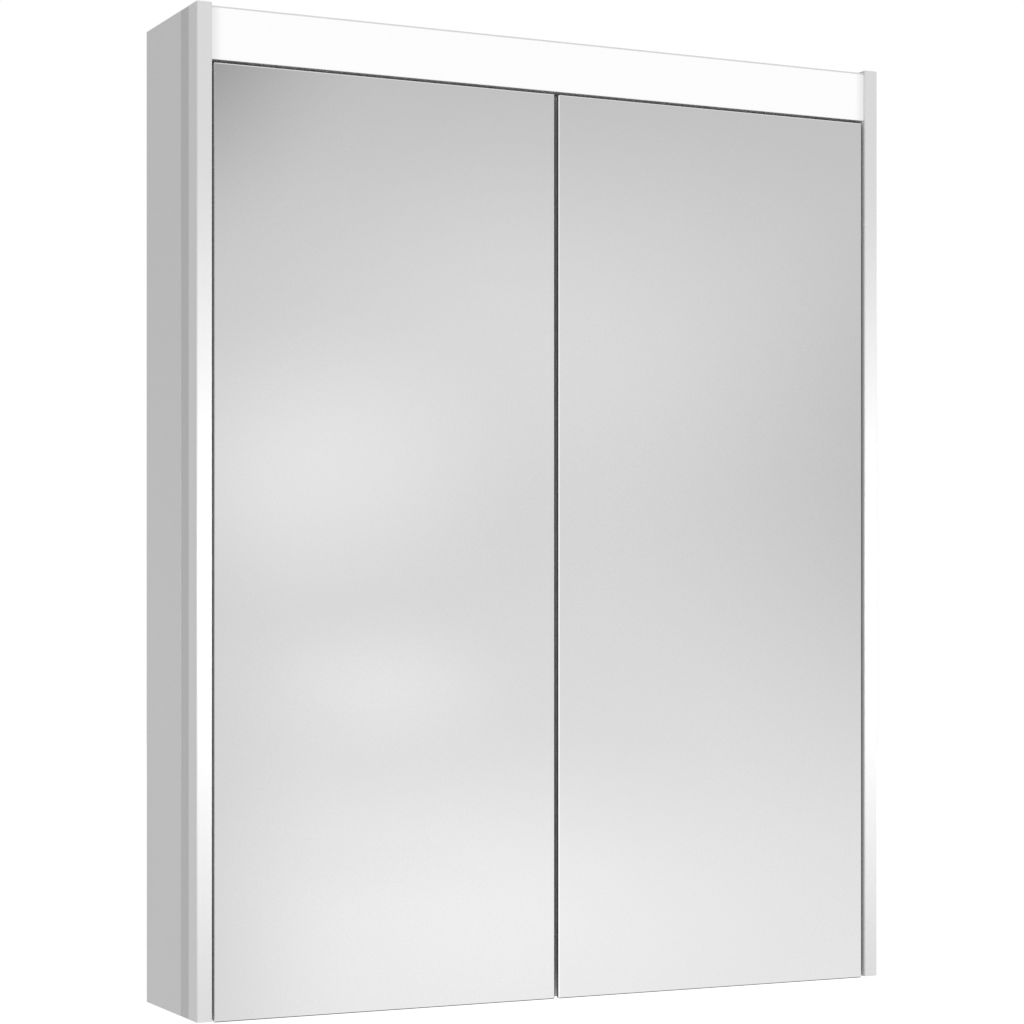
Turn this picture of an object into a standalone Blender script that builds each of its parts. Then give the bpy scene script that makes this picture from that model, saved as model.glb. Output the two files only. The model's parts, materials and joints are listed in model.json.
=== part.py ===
"""Wall cabinet with two mirror doors and a light strip, as an assembly of its separate pieces.

Metres, +Z up. The front faces -Y and the back stands on the wall plane Y = 0.
The origin is the middle of the back, where the cabinet stands against the wall.
"""
import math

import bmesh
import bpy
from mathutils import Matrix, Vector

# Overall sizes
WIDTH = 0.600
HEIGHT = 0.760
DEPTH = 0.120

# Clearance between pieces that touch or are fitted into each other
FIT = 0.0003

# Board body
SIDE_BOARD = 0.012
LEVEL_BOARD = 0.012
BACK_BOARD = 0.005
BOARD_EDGE = 0.0004
GRIP_RECESS = 0.012

# Corner posts, hollow profiles in front of the side boards
POST_WIDTH = 0.012
POST_DEPTH = 0.037
POST_WALL = 0.0016
POST_BAND = 0.018
POST_BAND_RECESS = 0.0002
POST_OUTER_EDGE = 0.0007
POST_INNER_EDGE = 0.0007
POST_CAP_DEPTH = 0.008

# Light strip over the doors
LIGHT_HEIGHT = 0.0394
LIGHT_DEPTH = 0.020
LIGHT_DROP = 0.002
LIGHT_SETBACK = 0.002
HOUSING_WALL = 0.001
DIFFUSER_WALL = 0.0026
DIFFUSER_LIP = 0.009
LED_BOARD_HEIGHT = 0.014
LED_BOARD_THICKNESS = 0.0016
LED_PITCH = 0.030
LED_SIZE = 0.0035
LED_STAND = 0.0007

# Doors
DOOR_SETBACK = 0.002
DOOR_MIDDLE_GAP = 0.0035
DOOR_TOP_GAP = 0.0028
DOOR_OVERHANG = 0.001
FRONT_GLASS = 0.004
REAR_GLASS = 0.003
CORE_UNDER_CUP = 0.0008
GLASS_EDGE = 0.0007
CORE_INSET = 0.001
BUMPER_THICKNESS = 0.0014
BUMPER_RADIUS = 0.004
BUMPER_FROM_MIDDLE = 0.030

# Cup hinges with one pivot, inside the door's thickness
HINGE_FROM_END = 0.090
PIVOT_INSET = 0.024
SWING_CLEARANCE = 0.00054
DOOR_OPENING = math.radians(95.0)
CUP_RADIUS = 0.0175
CUP_DEPTH = 0.0106
CUP_WALL = 0.0009
CUP_FLANGE_RADIUS = 0.020
CUP_FLANGE = 0.001
HINGE_PIN_RADIUS = 0.001
KNUCKLE_RADIUS = 0.0019
ARM_THICKNESS = 0.0025
ARM_HEIGHT = 0.014
ARM_ANGLE = math.radians(42.5)
ARM_RISE = 0.0057
ARM_CLEARANCE = 0.001
ARM_BEND = 0.006
ARM_LENGTH = 0.046
PLATE_THICKNESS = 0.0023
PLATE_HEIGHT = 0.042
PLATE_LENGTH = 0.042

# Shelves and their pins
SHELF_COUNT = 2
SHELF_THICKNESS = 0.005
SHELF_END_GAP = 0.0005
SHELF_FRONT_GAP = 0.004
SHELF_BACK_GAP = 0.005
PIN_RADIUS = 0.0025
PIN_SINK = 0.008
PIN_REACH = 0.008
PIN_COLLAR_RADIUS = 0.004
PIN_COLLAR = 0.0012
PIN_FROM_FRONT = 0.014
PIN_FROM_BACK = 0.016
HOLE_PITCH = 0.032
HOLES_EACH_WAY = 2

# Socket and light switch, in a box under the light deck
SOCKET_BOX_WIDTH = 0.100
SOCKET_BOX_HEIGHT = 0.050
SOCKET_BOX_DEPTH = 0.050
SOCKET_BOX_WALL = 0.0022
SOCKET_BOX_EDGE = 0.0015
SOCKET_RADIUS = 0.0195
SOCKET_WALL = 0.0018
SOCKET_RECESS = 0.015
SOCKET_FLOOR = 0.004
SOCKET_PROUD = 0.0008
CONTACT_RADIUS = 0.0027
CONTACT_SPACING = 0.019
SWITCH_BAY = 0.034
ROCKER_WIDTH = 0.0124
ROCKER_HALF = 0.0105
ROCKER_FRONT = 0.007
ROCKER_DIP = 0.0014
ROCKER_REAR = 0.0025
ROCKER_TILT = math.radians(8.0)
ROCKER_CLEARANCE = 0.0004
TRUNNION_RADIUS = 0.0012
TRUNNION_REACH = 0.0015
POCKET_DEPTH = 0.014

# Pieces in the light compartment and at the back
DRIVER_SIZE = Vector((0.120, 0.034, 0.020))
DRIVER_EDGE = 0.002
TERMINAL_SIZE = Vector((0.030, 0.018, 0.014))
TERMINAL_POLES = 3
TERMINAL_HOLE = 0.0018
GROMMET_BORE = 0.010
GROMMET_FLANGE_RADIUS = 0.013
GROMMET_FLANGE = 0.0015
GROMMET_SKIN = 0.0012
GROMMET_OFFSET = 0.060
HANGER_LENGTH = 0.055
HANGER_WIDTH = 0.015
HANGER_HEIGHT = 0.024
HANGER_CLAW = 0.007
HANGER_CLAW_END = 0.0008
HANGER_SCREW_RADIUS = 0.0035
HANGER_SCREW_HEAD = 0.0015
HANG_SLOT_WIDTH = 0.018

# Facets on round pieces
ROUND = 32
SMALL_ROUND = 16
PEG_ROUND = 12
BEND_STEPS = 6

# Places worked out from the sizes above
HALF_WIDTH = WIDTH / 2
TOP = HEIGHT / 2
BOTTOM = -HEIGHT / 2
BODY_BOTTOM = BOTTOM + DOOR_OVERHANG
FRONT = -DEPTH
POST_REAR = FRONT + POST_DEPTH
POST_INNER = HALF_WIDTH - POST_WIDTH
BODY_INNER = HALF_WIDTH - SIDE_BOARD
BODY_FITTED = BODY_INNER - FIT
LEVEL_REAR = -BACK_BOARD - FIT

LIGHT_TOP = TOP - LIGHT_DROP
LIGHT_BOTTOM = LIGHT_TOP - LIGHT_HEIGHT
LIGHT_FRONT = FRONT + LIGHT_SETBACK
LIGHT_REAR = LIGHT_FRONT + LIGHT_DEPTH
LIGHT_HALF = POST_INNER - FIT
DECK_TOP = LIGHT_BOTTOM - FIT
DECK_BOTTOM = DECK_TOP - LEVEL_BOARD
FLOOR_BOTTOM = BODY_BOTTOM + GRIP_RECESS
FLOOR_TOP = FLOOR_BOTTOM + LEVEL_BOARD
LID_BOTTOM = LIGHT_TOP - LEVEL_BOARD

CORE_BOARD = CUP_DEPTH - REAR_GLASS + CORE_UNDER_CUP
DOOR_THICKNESS = FRONT_GLASS + CORE_BOARD + REAR_GLASS + 2 * FIT
PIVOT_TO_REAR = CUP_DEPTH - CUP_WALL - KNUCKLE_RADIUS - FIT
PIVOT_DEPTH = DOOR_THICKNESS - PIVOT_TO_REAR
DOOR_SWEEP = math.hypot(PIVOT_INSET, max(PIVOT_DEPTH, PIVOT_TO_REAR))
DOOR_SIDE_GAP = DOOR_SWEEP - PIVOT_INSET + SWING_CLEARANCE

DOOR_FRONT = FRONT + DOOR_SETBACK
DOOR_REAR = DOOR_FRONT + DOOR_THICKNESS
DOOR_TOP = LIGHT_BOTTOM - DOOR_TOP_GAP
DOOR_OUTER = POST_INNER - DOOR_SIDE_GAP
DOOR_MEETING = DOOR_MIDDLE_GAP / 2
LEVEL_FRONT = DOOR_REAR + BUMPER_THICKNESS + 2 * FIT

PIVOT_X = DOOR_OUTER - PIVOT_INSET
PIVOT_Y = DOOR_FRONT + PIVOT_DEPTH
SWEEP_REAR = max(PIVOT_Y + DOOR_SWEEP + ARM_CLEARANCE, POST_REAR + FIT)
HINGE_LEVELS = {"upper": DOOR_TOP - HINGE_FROM_END, "lower": BOTTOM + HINGE_FROM_END}

SHELF_FRONT = SWEEP_REAR + SHELF_FRONT_GAP
SHELF_REAR = LEVEL_REAR - SHELF_BACK_GAP
BAY = (DECK_BOTTOM - FLOOR_TOP) / (SHELF_COUNT + 1)
SHELF_LEVELS = [FLOOR_TOP + BAY * (number + 1) for number in range(SHELF_COUNT)]
SHELF_NAMES = ["lower_shelf", "upper_shelf"]
PIN_LINES = {"front": SHELF_FRONT + PIN_FROM_FRONT, "rear": SHELF_REAR - PIN_FROM_BACK}

SIDES = {"left": -1.0, "right": 1.0}

# Turns that lay a shape, drawn on XY and raised along Z, in the cabinet
DRAWN_ON_YZ = Matrix(((0, 0, 1, 0), (1, 0, 0, 0), (0, 1, 0, 0), (0, 0, 0, 1)))
ALONG_BACK = Matrix.Rotation(math.radians(-90.0), 4, "X")
UPRIGHT = Matrix.Identity(4)


def clear_scene():
    """Start from an empty scene."""
    for thing in list(bpy.data.objects):
        bpy.data.objects.remove(thing, do_unlink=True)


def finish(name, colour, roughness, metallic=0.0, transmission=0.0):
    """A material of one colour with a gloss."""
    material = bpy.data.materials.new(name)
    material.use_nodes = True
    shader = material.node_tree.nodes["Principled BSDF"]
    shader.inputs["Base Color"].default_value = (*colour, 1.0)
    shader.inputs["Roughness"].default_value = roughness
    shader.inputs["Metallic"].default_value = metallic
    shader.inputs["Transmission Weight"].default_value = transmission
    material.diffuse_color = (*colour, 1.0)
    return material


def add_piece(name, bm, material, place, turn=UPRIGHT, parent=None):
    """Put a finished mesh in the scene; place is in the cabinet's frame, also under a parent."""
    bmesh.ops.recalc_face_normals(bm, faces=bm.faces)
    mesh = bpy.data.meshes.new(name)
    bm.to_mesh(mesh)
    bm.free()
    mesh.materials.append(material)
    piece = bpy.data.objects.new(name, mesh)
    piece.matrix_world = Matrix.Translation(place) @ turn
    bpy.context.collection.objects.link(piece)
    if parent is not None:
        piece.parent = parent
        piece.location = Vector(place) - parent.location
    return piece


def shade_round(piece):
    """Smooth the round faces and keep the real edges sharp."""
    piece.data.shade_smooth()
    piece.data.set_sharp_from_angle(angle=math.radians(35.0))
    return piece


def block(name, low, high, material, edge=0.0, parent=None):
    """A box between two corners, with its edges broken."""
    low = Vector(low)
    high = Vector(high)
    bm = bmesh.new()
    bmesh.ops.create_cube(bm, size=1.0)
    bmesh.ops.scale(bm, vec=high - low, verts=bm.verts)
    piece = add_piece(name, bm, material, (low + high) / 2, parent=parent)
    if edge > 0.0:
        bevel = piece.modifiers.new("broken_edges", "BEVEL")
        bevel.width = edge
        bevel.segments = 1
    return piece


def peg(name, radius, length, material, place, turn=UPRIGHT, facets=SMALL_ROUND, parent=None):
    """A plain round bar centred on its place."""
    bm = bmesh.new()
    bmesh.ops.create_cone(
        bm, cap_ends=True, segments=facets, radius1=radius, radius2=radius, depth=length
    )
    return shade_round(add_piece(name, bm, material, place, turn, parent))


def raised(name, outline, height, material, place, turn=UPRIGHT, parent=None):
    """An outline on XY raised along Z, half to each side."""
    bm = bmesh.new()
    corners = [bm.verts.new((point[0], point[1], -height / 2)) for point in outline]
    face = bm.faces.new(corners)
    raised_geometry = bmesh.ops.extrude_face_region(bm, geom=[face])["geom"]
    top = [item for item in raised_geometry if isinstance(item, bmesh.types.BMVert)]
    bmesh.ops.translate(bm, vec=(0.0, 0.0, height), verts=top)
    return add_piece(name, bm, material, place, turn, parent)


def turned(name, profile, material, place, turn=UPRIGHT, facets=ROUND, parent=None):
    """A profile of (radius, height) points turned round Z; it starts and ends on the axis."""
    bm = bmesh.new()
    points = [bm.verts.new((radius, 0.0, height)) for radius, height in profile]
    lines = [bm.edges.new(pair) for pair in zip(points, points[1:])]
    bmesh.ops.spin(
        bm, geom=points + lines, cent=(0, 0, 0), axis=(0, 0, 1), angle=2 * math.pi,
        steps=facets, use_merge=True
    )
    bmesh.ops.remove_doubles(bm, verts=bm.verts, dist=1e-6)
    return shade_round(add_piece(name, bm, material, place, turn, parent))


def combine(target, tool, operation):
    """Cut a tool out of a piece, or add it, and keep the tool as a guide."""
    boolean = target.modifiers.new(tool.name, "BOOLEAN")
    boolean.operation = operation
    boolean.solver = "EXACT"
    boolean.object = tool
    tool.hide_render = True
    tool.display_type = "WIRE"


def cut(target, tool):
    combine(target, tool, "DIFFERENCE")


def unite(target, tool):
    combine(target, tool, "UNION")


def cluster(name, shapes, material):
    """One guide made of (mesh maker, place) shapes that stay apart."""
    bm = bmesh.new()
    for make, place in shapes:
        new_verts = make(bm)
        bmesh.ops.translate(bm, vec=place, verts=new_verts)
    return add_piece(name, bm, material, (0.0, 0.0, 0.0))


def round_along_x(radius, length, facets):
    """A maker of one round bar along X, for a cluster."""
    def make(bm):
        turn = Matrix.Rotation(math.radians(90.0), 4, "Y")
        made = bmesh.ops.create_cone(
            bm, cap_ends=True, segments=facets, radius1=radius, radius2=radius,
            depth=length, matrix=turn
        )
        return made["verts"]
    return make


def round_along_y(radius, length, facets):
    """A maker of one round bar along Y, for a cluster."""
    def make(bm):
        made = bmesh.ops.create_cone(
            bm, cap_ends=True, segments=facets, radius1=radius, radius2=radius,
            depth=length, matrix=ALONG_BACK
        )
        return made["verts"]
    return make


def box_shape(size):
    """A maker of one box, for a cluster."""
    def make(bm):
        made = bmesh.ops.create_cube(bm, size=1.0)
        bmesh.ops.scale(bm, vec=size, verts=made["verts"])
        return made["verts"]
    return make


def rounded_path(points, radii):
    """A path whose inner corners are arcs of the given radii."""
    path = [Vector(points[0])]
    for before, corner, after, radius in zip(points, points[1:], points[2:], radii):
        corner = Vector(corner)
        back = (Vector(before) - corner).normalized()
        ahead = (Vector(after) - corner).normalized()
        opening = back.angle(ahead)
        centre = corner + (back + ahead).normalized() * (radius / math.sin(opening / 2))
        start = corner + back * (radius / math.tan(opening / 2)) - centre
        turn = math.copysign(math.pi - opening, ahead.cross(back))
        for step in range(BEND_STEPS + 1):
            rotation = Matrix.Rotation(turn * step / BEND_STEPS, 2)
            path.append(centre + rotation @ start)
    path.append(Vector(points[-1]))
    return path


def strip_outline(path, thickness):
    """The outline of a strip of one thickness that follows a path."""
    left = []
    right = []
    for index, point in enumerate(path):
        before = path[max(index - 1, 0)]
        after = path[min(index + 1, len(path) - 1)]
        along = (after - before).normalized()
        across = Vector((-along.y, along.x)) * (thickness / 2)
        left.append(point + across)
        right.append(point - across)
    return left + right[::-1]


def mirrored(outline, side):
    """An outline drawn for the left side (-1), turned over for the right side (+1)."""
    return [(-side * point[0], point[1]) for point in outline]


def side_board(label, side, material):
    """Side of the body, with two lines of holes for the shelf pins round each shelf."""
    outer = side * HALF_WIDTH
    inner = side * BODY_INNER
    board = block(
        label + "_side_board", (min(outer, inner), POST_REAR + FIT, BODY_BOTTOM),
        (max(outer, inner), 0.0, TOP), material, edge=BOARD_EDGE
    )
    depth = PIN_SINK + FIT
    shapes = []
    for level in SHELF_LEVELS:
        for line in PIN_LINES.values():
            for step in range(-HOLES_EACH_WAY, HOLES_EACH_WAY + 1):
                place = (inner, line, pin_level(level) + step * HOLE_PITCH)
                shapes.append((round_along_x(PIN_RADIUS + FIT, 2 * depth, PEG_ROUND), place))
    cut(board, cluster(label + "_pin_holes", shapes, material))


def pin_level(shelf_level):
    """Height of a pin's middle under a shelf whose underside is at shelf_level."""
    return shelf_level - PIN_RADIUS - FIT


def level_board_outline():
    """Plan of a level board whose front corners leave room for the doors' outer edges."""
    open_edge = PIVOT_TO_REAR * math.sin(DOOR_OPENING) - PIVOT_INSET * math.cos(DOOR_OPENING)
    notch = BODY_FITTED - PIVOT_X + open_edge + ARM_CLEARANCE
    half = BODY_FITTED
    return [
        (-half, LEVEL_REAR), (-half, SWEEP_REAR), (-half + notch, SWEEP_REAR),
        (-half + notch, LEVEL_FRONT), (half - notch, LEVEL_FRONT), (half - notch, SWEEP_REAR),
        (half, SWEEP_REAR), (half, LEVEL_REAR),
    ]


def lid_outline():
    """Plan of the lid, which narrows between the posts where they are wider than the sides."""
    half = BODY_FITTED
    front = min(LIGHT_HALF, BODY_FITTED)
    step = POST_REAR + FIT
    corners = [
        (-half, LEVEL_REAR), (-half, step), (-front, step), (-front, LIGHT_REAR + FIT),
        (front, LIGHT_REAR + FIT), (front, step), (half, step), (half, LEVEL_REAR),
    ]
    return corners if front < half else [corner for corner in corners if corner[1] != step]


def level_boards(material):
    """Lid over the light, deck under the light, and floor of the cabinet."""
    outline = level_board_outline()
    raised("lid_board", lid_outline(), LEVEL_BOARD, material, (0, 0, LIGHT_TOP - LEVEL_BOARD / 2))
    raised("light_deck", outline, LEVEL_BOARD, material, (0, 0, (DECK_TOP + DECK_BOTTOM) / 2))
    raised("floor_board", outline, LEVEL_BOARD, material, (0, 0, (FLOOR_TOP + FLOOR_BOTTOM) / 2))


def back_board(material):
    """Back, with a slot in each upper corner for a hanger's claw and a hole for the cable."""
    board = block(
        "back_board", (-BODY_FITTED, -BACK_BOARD, FLOOR_BOTTOM),
        (BODY_FITTED, 0.0, LIGHT_TOP), material
    )
    slot_top = LID_BOTTOM - FIT
    slot_height = slot_top - DECK_TOP
    slot = box_shape((2 * HANG_SLOT_WIDTH, 4 * BACK_BOARD, slot_height))
    slot_level = slot_top - slot_height / 2
    hole = round_along_y(GROMMET_BORE + FIT, 4 * BACK_BOARD, ROUND)
    shapes = [(slot, (side * BODY_FITTED, 0.0, slot_level)) for side in SIDES.values()]
    shapes.append((hole, (GROMMET_OFFSET, 0.0, slot_level)))
    cut(board, cluster("back_openings", shapes, material))


def corner_post(label, side, profile_finish, cap_finish):
    """Hollow corner profile with a plug in each end."""
    outline = [
        (POST_OUTER_EDGE, 0.0), (POST_WIDTH - POST_INNER_EDGE, 0.0),
        (POST_WIDTH, POST_INNER_EDGE), (POST_WIDTH, POST_DEPTH),
        (POST_BAND_RECESS, POST_DEPTH), (POST_BAND_RECESS, POST_DEPTH - POST_BAND),
        (0.0, POST_DEPTH - POST_BAND), (0.0, POST_OUTER_EDGE),
    ]
    height = TOP - BODY_BOTTOM
    corner = Vector((side * HALF_WIDTH, FRONT, (TOP + BODY_BOTTOM) / 2))
    post = raised(label + "_post", mirrored(outline, side), height, profile_finish, corner)
    hollow = Vector((POST_WIDTH - 2 * POST_WALL, POST_DEPTH - 2 * POST_WALL, 2 * height))
    middle = corner + Vector((-side * POST_WIDTH / 2, POST_DEPTH / 2, 0.0))
    channel = block(
        label + "_post_channel", middle - hollow / 2, middle + hollow / 2, profile_finish
    )
    cut(post, channel)
    reach = Vector((hollow.x / 2 - FIT, hollow.y / 2 - FIT, POST_CAP_DEPTH / 2))
    for end, level in (("top", TOP - reach.z), ("bottom", BODY_BOTTOM + reach.z)):
        place = Vector((middle.x, middle.y, level))
        block("{}_{}_cap".format(label, end), place - reach, place + reach, cap_finish, BOARD_EDGE)


def light_housing(material):
    """Channel that holds the light, open to the front; its upper flange shows as a thin line."""
    wall = HOUSING_WALL
    lower_front = LIGHT_FRONT + DIFFUSER_WALL + FIT
    lower = LIGHT_BOTTOM
    outline = [
        (LIGHT_FRONT, LIGHT_TOP), (LIGHT_FRONT, LIGHT_TOP - wall),
        (LIGHT_REAR - wall, LIGHT_TOP - wall), (LIGHT_REAR - wall, lower + wall),
        (lower_front, lower + wall), (lower_front, lower),
        (LIGHT_REAR, lower), (LIGHT_REAR, LIGHT_TOP),
    ]
    raised("light_housing", outline, 2 * LIGHT_HALF, material, (0, 0, 0), DRAWN_ON_YZ)


def light_diffuser(material):
    """Opal cover with a lip along its top and its bottom that clips into the housing."""
    upper = LIGHT_TOP - HOUSING_WALL - FIT
    inner_lower = LIGHT_BOTTOM + HOUSING_WALL + FIT
    front_rear = LIGHT_FRONT + DIFFUSER_WALL
    lip_rear = front_rear + DIFFUSER_LIP
    outline = [
        (LIGHT_FRONT, upper), (LIGHT_FRONT, LIGHT_BOTTOM), (front_rear, LIGHT_BOTTOM),
        (front_rear, inner_lower), (lip_rear, inner_lower),
        (lip_rear, inner_lower + DIFFUSER_WALL), (front_rear, inner_lower + DIFFUSER_WALL),
        (front_rear, upper - DIFFUSER_WALL), (lip_rear, upper - DIFFUSER_WALL),
        (lip_rear, upper),
    ]
    raised("light_diffuser", outline, 2 * LIGHT_HALF, material, (0, 0, 0), DRAWN_ON_YZ)


def led_board(board_finish):
    """Strip of light emitting diodes on the housing's back wall."""
    middle = (LIGHT_TOP + LIGHT_BOTTOM) / 2
    rear = LIGHT_REAR - HOUSING_WALL - FIT
    front = rear - LED_BOARD_THICKNESS
    half = LIGHT_HALF - LED_PITCH / 2
    reach = LED_BOARD_HEIGHT / 2
    board = block("led_board", (-half, front, middle - reach), (half, rear, middle + reach), board_finish)
    count = int(2 * half / LED_PITCH)
    chip = box_shape((LED_SIZE, 2 * LED_STAND, LED_SIZE))
    first = -LED_PITCH * (count - 1) / 2
    places = [(first + LED_PITCH * number, front, middle) for number in range(count)]
    unite(board, cluster("led_chips", [(chip, place) for place in places], board_finish))


def light_supply(driver_finish, terminal_finish):
    """Driver and terminal block, side by side on the light deck."""
    row_front = (LIGHT_REAR + LEVEL_REAR - DRIVER_SIZE.y) / 2
    driver_low = Vector((-DRIVER_SIZE.x - TERMINAL_SIZE.x, row_front, DECK_TOP + FIT))
    block("led_driver", driver_low, driver_low + DRIVER_SIZE, driver_finish, DRIVER_EDGE)
    block_low = Vector((GROMMET_OFFSET - TERMINAL_SIZE.x / 2, row_front, DECK_TOP + FIT))
    block_high = block_low + TERMINAL_SIZE
    terminal = block("terminal_block", block_low, block_high, terminal_finish, BOARD_EDGE)
    pitch = TERMINAL_SIZE.x / TERMINAL_POLES
    hole = round_along_y(TERMINAL_HOLE, 2 * TERMINAL_SIZE.y, PEG_ROUND)
    middle = (block_low + block_high) / 2
    places = [
        (middle.x + pitch * (pole - (TERMINAL_POLES - 1) / 2), middle.y, middle.z)
        for pole in range(TERMINAL_POLES)
    ]
    cut(terminal, cluster("terminal_holes", [(hole, place) for place in places], terminal_finish))


def cable_grommet(material):
    """Rubber grommet in the back; its thin skin is pierced where the supply cable comes in."""
    inner = GROMMET_BORE - GROMMET_FLANGE
    skin_front = BACK_BOARD / 2
    lip = BACK_BOARD + FIT + GROMMET_FLANGE
    profile = [
        (0.0, skin_front - GROMMET_SKIN / 2), (inner, skin_front - GROMMET_SKIN / 2),
        (inner, FIT), (GROMMET_BORE, FIT), (GROMMET_BORE, BACK_BOARD + FIT),
        (GROMMET_FLANGE_RADIUS, BACK_BOARD + FIT), (GROMMET_FLANGE_RADIUS, lip),
        (inner, lip), (inner, skin_front + GROMMET_SKIN / 2), (0.0, skin_front + GROMMET_SKIN / 2),
    ]
    level = (DECK_TOP + LID_BOTTOM - FIT) / 2
    place = (GROMMET_OFFSET, 0.0, level)
    towards_front = Matrix.Rotation(math.radians(90.0), 4, "X")
    turned("cable_grommet", profile, material, place, towards_front)


def wall_hanger(label, side, material):
    """Adjustable hanger on the side board; its claw hooks over a hook on the wall."""
    outer = side * (BODY_INNER - FIT)
    inner = side * (BODY_INNER - FIT - HANGER_WIDTH)
    low_x = min(outer, inner)
    high_x = max(outer, inner)
    level = (DECK_TOP + LID_BOTTOM) / 2
    low_z = level - HANGER_HEIGHT / 2
    high_z = level + HANGER_HEIGHT / 2
    rear = -BACK_BOARD - FIT
    front = rear - HANGER_LENGTH
    body = block(label + "_hanger", (low_x, front, low_z), (high_x, rear, high_z), material, BOARD_EDGE)
    claw = block(
        label + "_hanger_claw", (low_x + 4 * FIT, rear - HANGER_CLAW_END, high_z - HANGER_CLAW),
        (high_x - 4 * FIT, -HANGER_CLAW_END, high_z - BOARD_EDGE), material
    )
    unite(body, claw)
    screws = round_along_y(HANGER_SCREW_RADIUS, 2 * HANGER_SCREW_HEAD, SMALL_ROUND)
    middle = (low_x + high_x) / 2
    places = [(middle, front, level + step * HANGER_HEIGHT / 4) for step in (-1, 1)]
    unite(body, cluster(label + "_hanger_screws", [(screws, place) for place in places], material))


def door(label, side, finishes):
    """Mirror door: front mirror, core board and rear mirror, hung on an axis inside the door."""
    axis = bpy.data.objects.new(label + "_door_axis", None)
    axis.location = (side * PIVOT_X, PIVOT_Y, 0.0)
    bpy.context.collection.objects.link(axis)
    low_x = min(side * DOOR_OUTER, side * DOOR_MEETING)
    high_x = max(side * DOOR_OUTER, side * DOOR_MEETING)
    block(
        label + "_front_mirror", (low_x, DOOR_FRONT, BOTTOM),
        (high_x, DOOR_FRONT + FRONT_GLASS, DOOR_TOP), finishes["mirror"], GLASS_EDGE, axis
    )
    core = block(
        label + "_door_core",
        (low_x + CORE_INSET, DOOR_FRONT + FRONT_GLASS + FIT, BOTTOM + CORE_INSET),
        (high_x - CORE_INSET, DOOR_REAR - REAR_GLASS - FIT, DOOR_TOP - CORE_INSET),
        finishes["board"], parent=axis
    )
    rear = block(
        label + "_rear_mirror", (low_x, DOOR_REAR - REAR_GLASS, BOTTOM),
        (high_x, DOOR_REAR, DOOR_TOP), finishes["mirror"], BOARD_EDGE, axis
    )
    depth = CUP_DEPTH + FIT
    bore = round_along_y(CUP_RADIUS + FIT, 2 * depth, ROUND)
    places = [(side * PIVOT_X, DOOR_REAR, level) for level in HINGE_LEVELS.values()]
    bores = cluster(label + "_cup_bores", [(bore, place) for place in places], finishes["board"])
    cut(core, bores)
    cut(rear, bores)
    for end, level in HINGE_LEVELS.items():
        hinge_cup("{}_{}_hinge".format(label, end), side, level, axis, finishes)
    return axis


def hinge_cup(name, side, level, axis, finishes):
    """Cup sunk into the back of the door, with the pin that the arm turns on."""
    floor = PIVOT_TO_REAR - CUP_DEPTH
    seat = PIVOT_TO_REAR + FIT
    rim = seat + CUP_FLANGE
    inner = CUP_RADIUS - CUP_WALL
    profile = [
        (0.0, floor), (CUP_RADIUS, floor), (CUP_RADIUS, seat), (CUP_FLANGE_RADIUS, seat),
        (CUP_FLANGE_RADIUS, rim), (inner, rim), (inner, floor + CUP_WALL), (0.0, floor + CUP_WALL),
    ]
    place = (side * PIVOT_X, PIVOT_Y, level)
    cup = turned(name + "_cup", profile, finishes["steel"], place, ALONG_BACK, parent=axis)
    drill = peg(name + "_pin_bore", HINGE_PIN_RADIUS + FIT, 3 * CUP_RADIUS, finishes["steel"], place)
    cut(cup, drill)
    length = 2 * (CUP_RADIUS - FIT)
    peg(name + "_pin", HINGE_PIN_RADIUS, length, finishes["steel"], place, parent=axis)


def hinge_arm(name, side, level, finishes):
    """Gooseneck arm from the pin, round behind the door's outer edge, to its plate on the side."""
    wall = -(PIVOT_INSET + DOOR_SIDE_GAP + POST_WIDTH - SIDE_BOARD)
    along_wall = wall + PLATE_THICKNESS + 2 * FIT + ARM_THICKNESS / 2
    behind_post = POST_REAR - PIVOT_Y
    crossing = max(behind_post, DOOR_SWEEP) + ARM_CLEARANCE + ARM_THICKNESS / 2
    rise = PIVOT_TO_REAR + CUP_FLANGE + ARM_RISE
    reach = rise / math.tan(ARM_ANGLE)
    corners = [
        (0.0, 0.0), (reach, rise), (reach, crossing), (along_wall, crossing),
        (along_wall, crossing + ARM_LENGTH),
    ]
    bends = (ARM_BEND, ARM_BEND, ARM_BEND / 2)
    outline = strip_outline(rounded_path(corners, bends), ARM_THICKNESS)
    place = Vector((side * PIVOT_X, PIVOT_Y, level))
    arm = raised(name + "_arm", mirrored(outline, side), ARM_HEIGHT, finishes["steel"], place)
    knuckle = peg(name + "_knuckle", KNUCKLE_RADIUS, ARM_HEIGHT, finishes["steel"], place)
    unite(arm, knuckle)
    bore = peg(name + "_knuckle_bore", HINGE_PIN_RADIUS + FIT, 2 * ARM_HEIGHT, finishes["steel"], place)
    cut(arm, bore)
    rear = PIVOT_Y + crossing + ARM_LENGTH
    near = side * (BODY_INNER - FIT)
    far = side * (BODY_INNER - FIT - PLATE_THICKNESS)
    block(
        name + "_plate", (min(near, far), rear - PLATE_LENGTH, level - PLATE_HEIGHT / 2),
        (max(near, far), rear, level + PLATE_HEIGHT / 2), finishes["steel"], BOARD_EDGE
    )


def glass_shelf(name, level, material):
    """Loose glass shelf that lies on four pins."""
    half = BODY_INNER - FIT - PIN_COLLAR - SHELF_END_GAP
    low = (-half, SHELF_FRONT, level)
    high = (half, SHELF_REAR, level + SHELF_THICKNESS)
    block(name, low, high, material, BOARD_EDGE)


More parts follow.
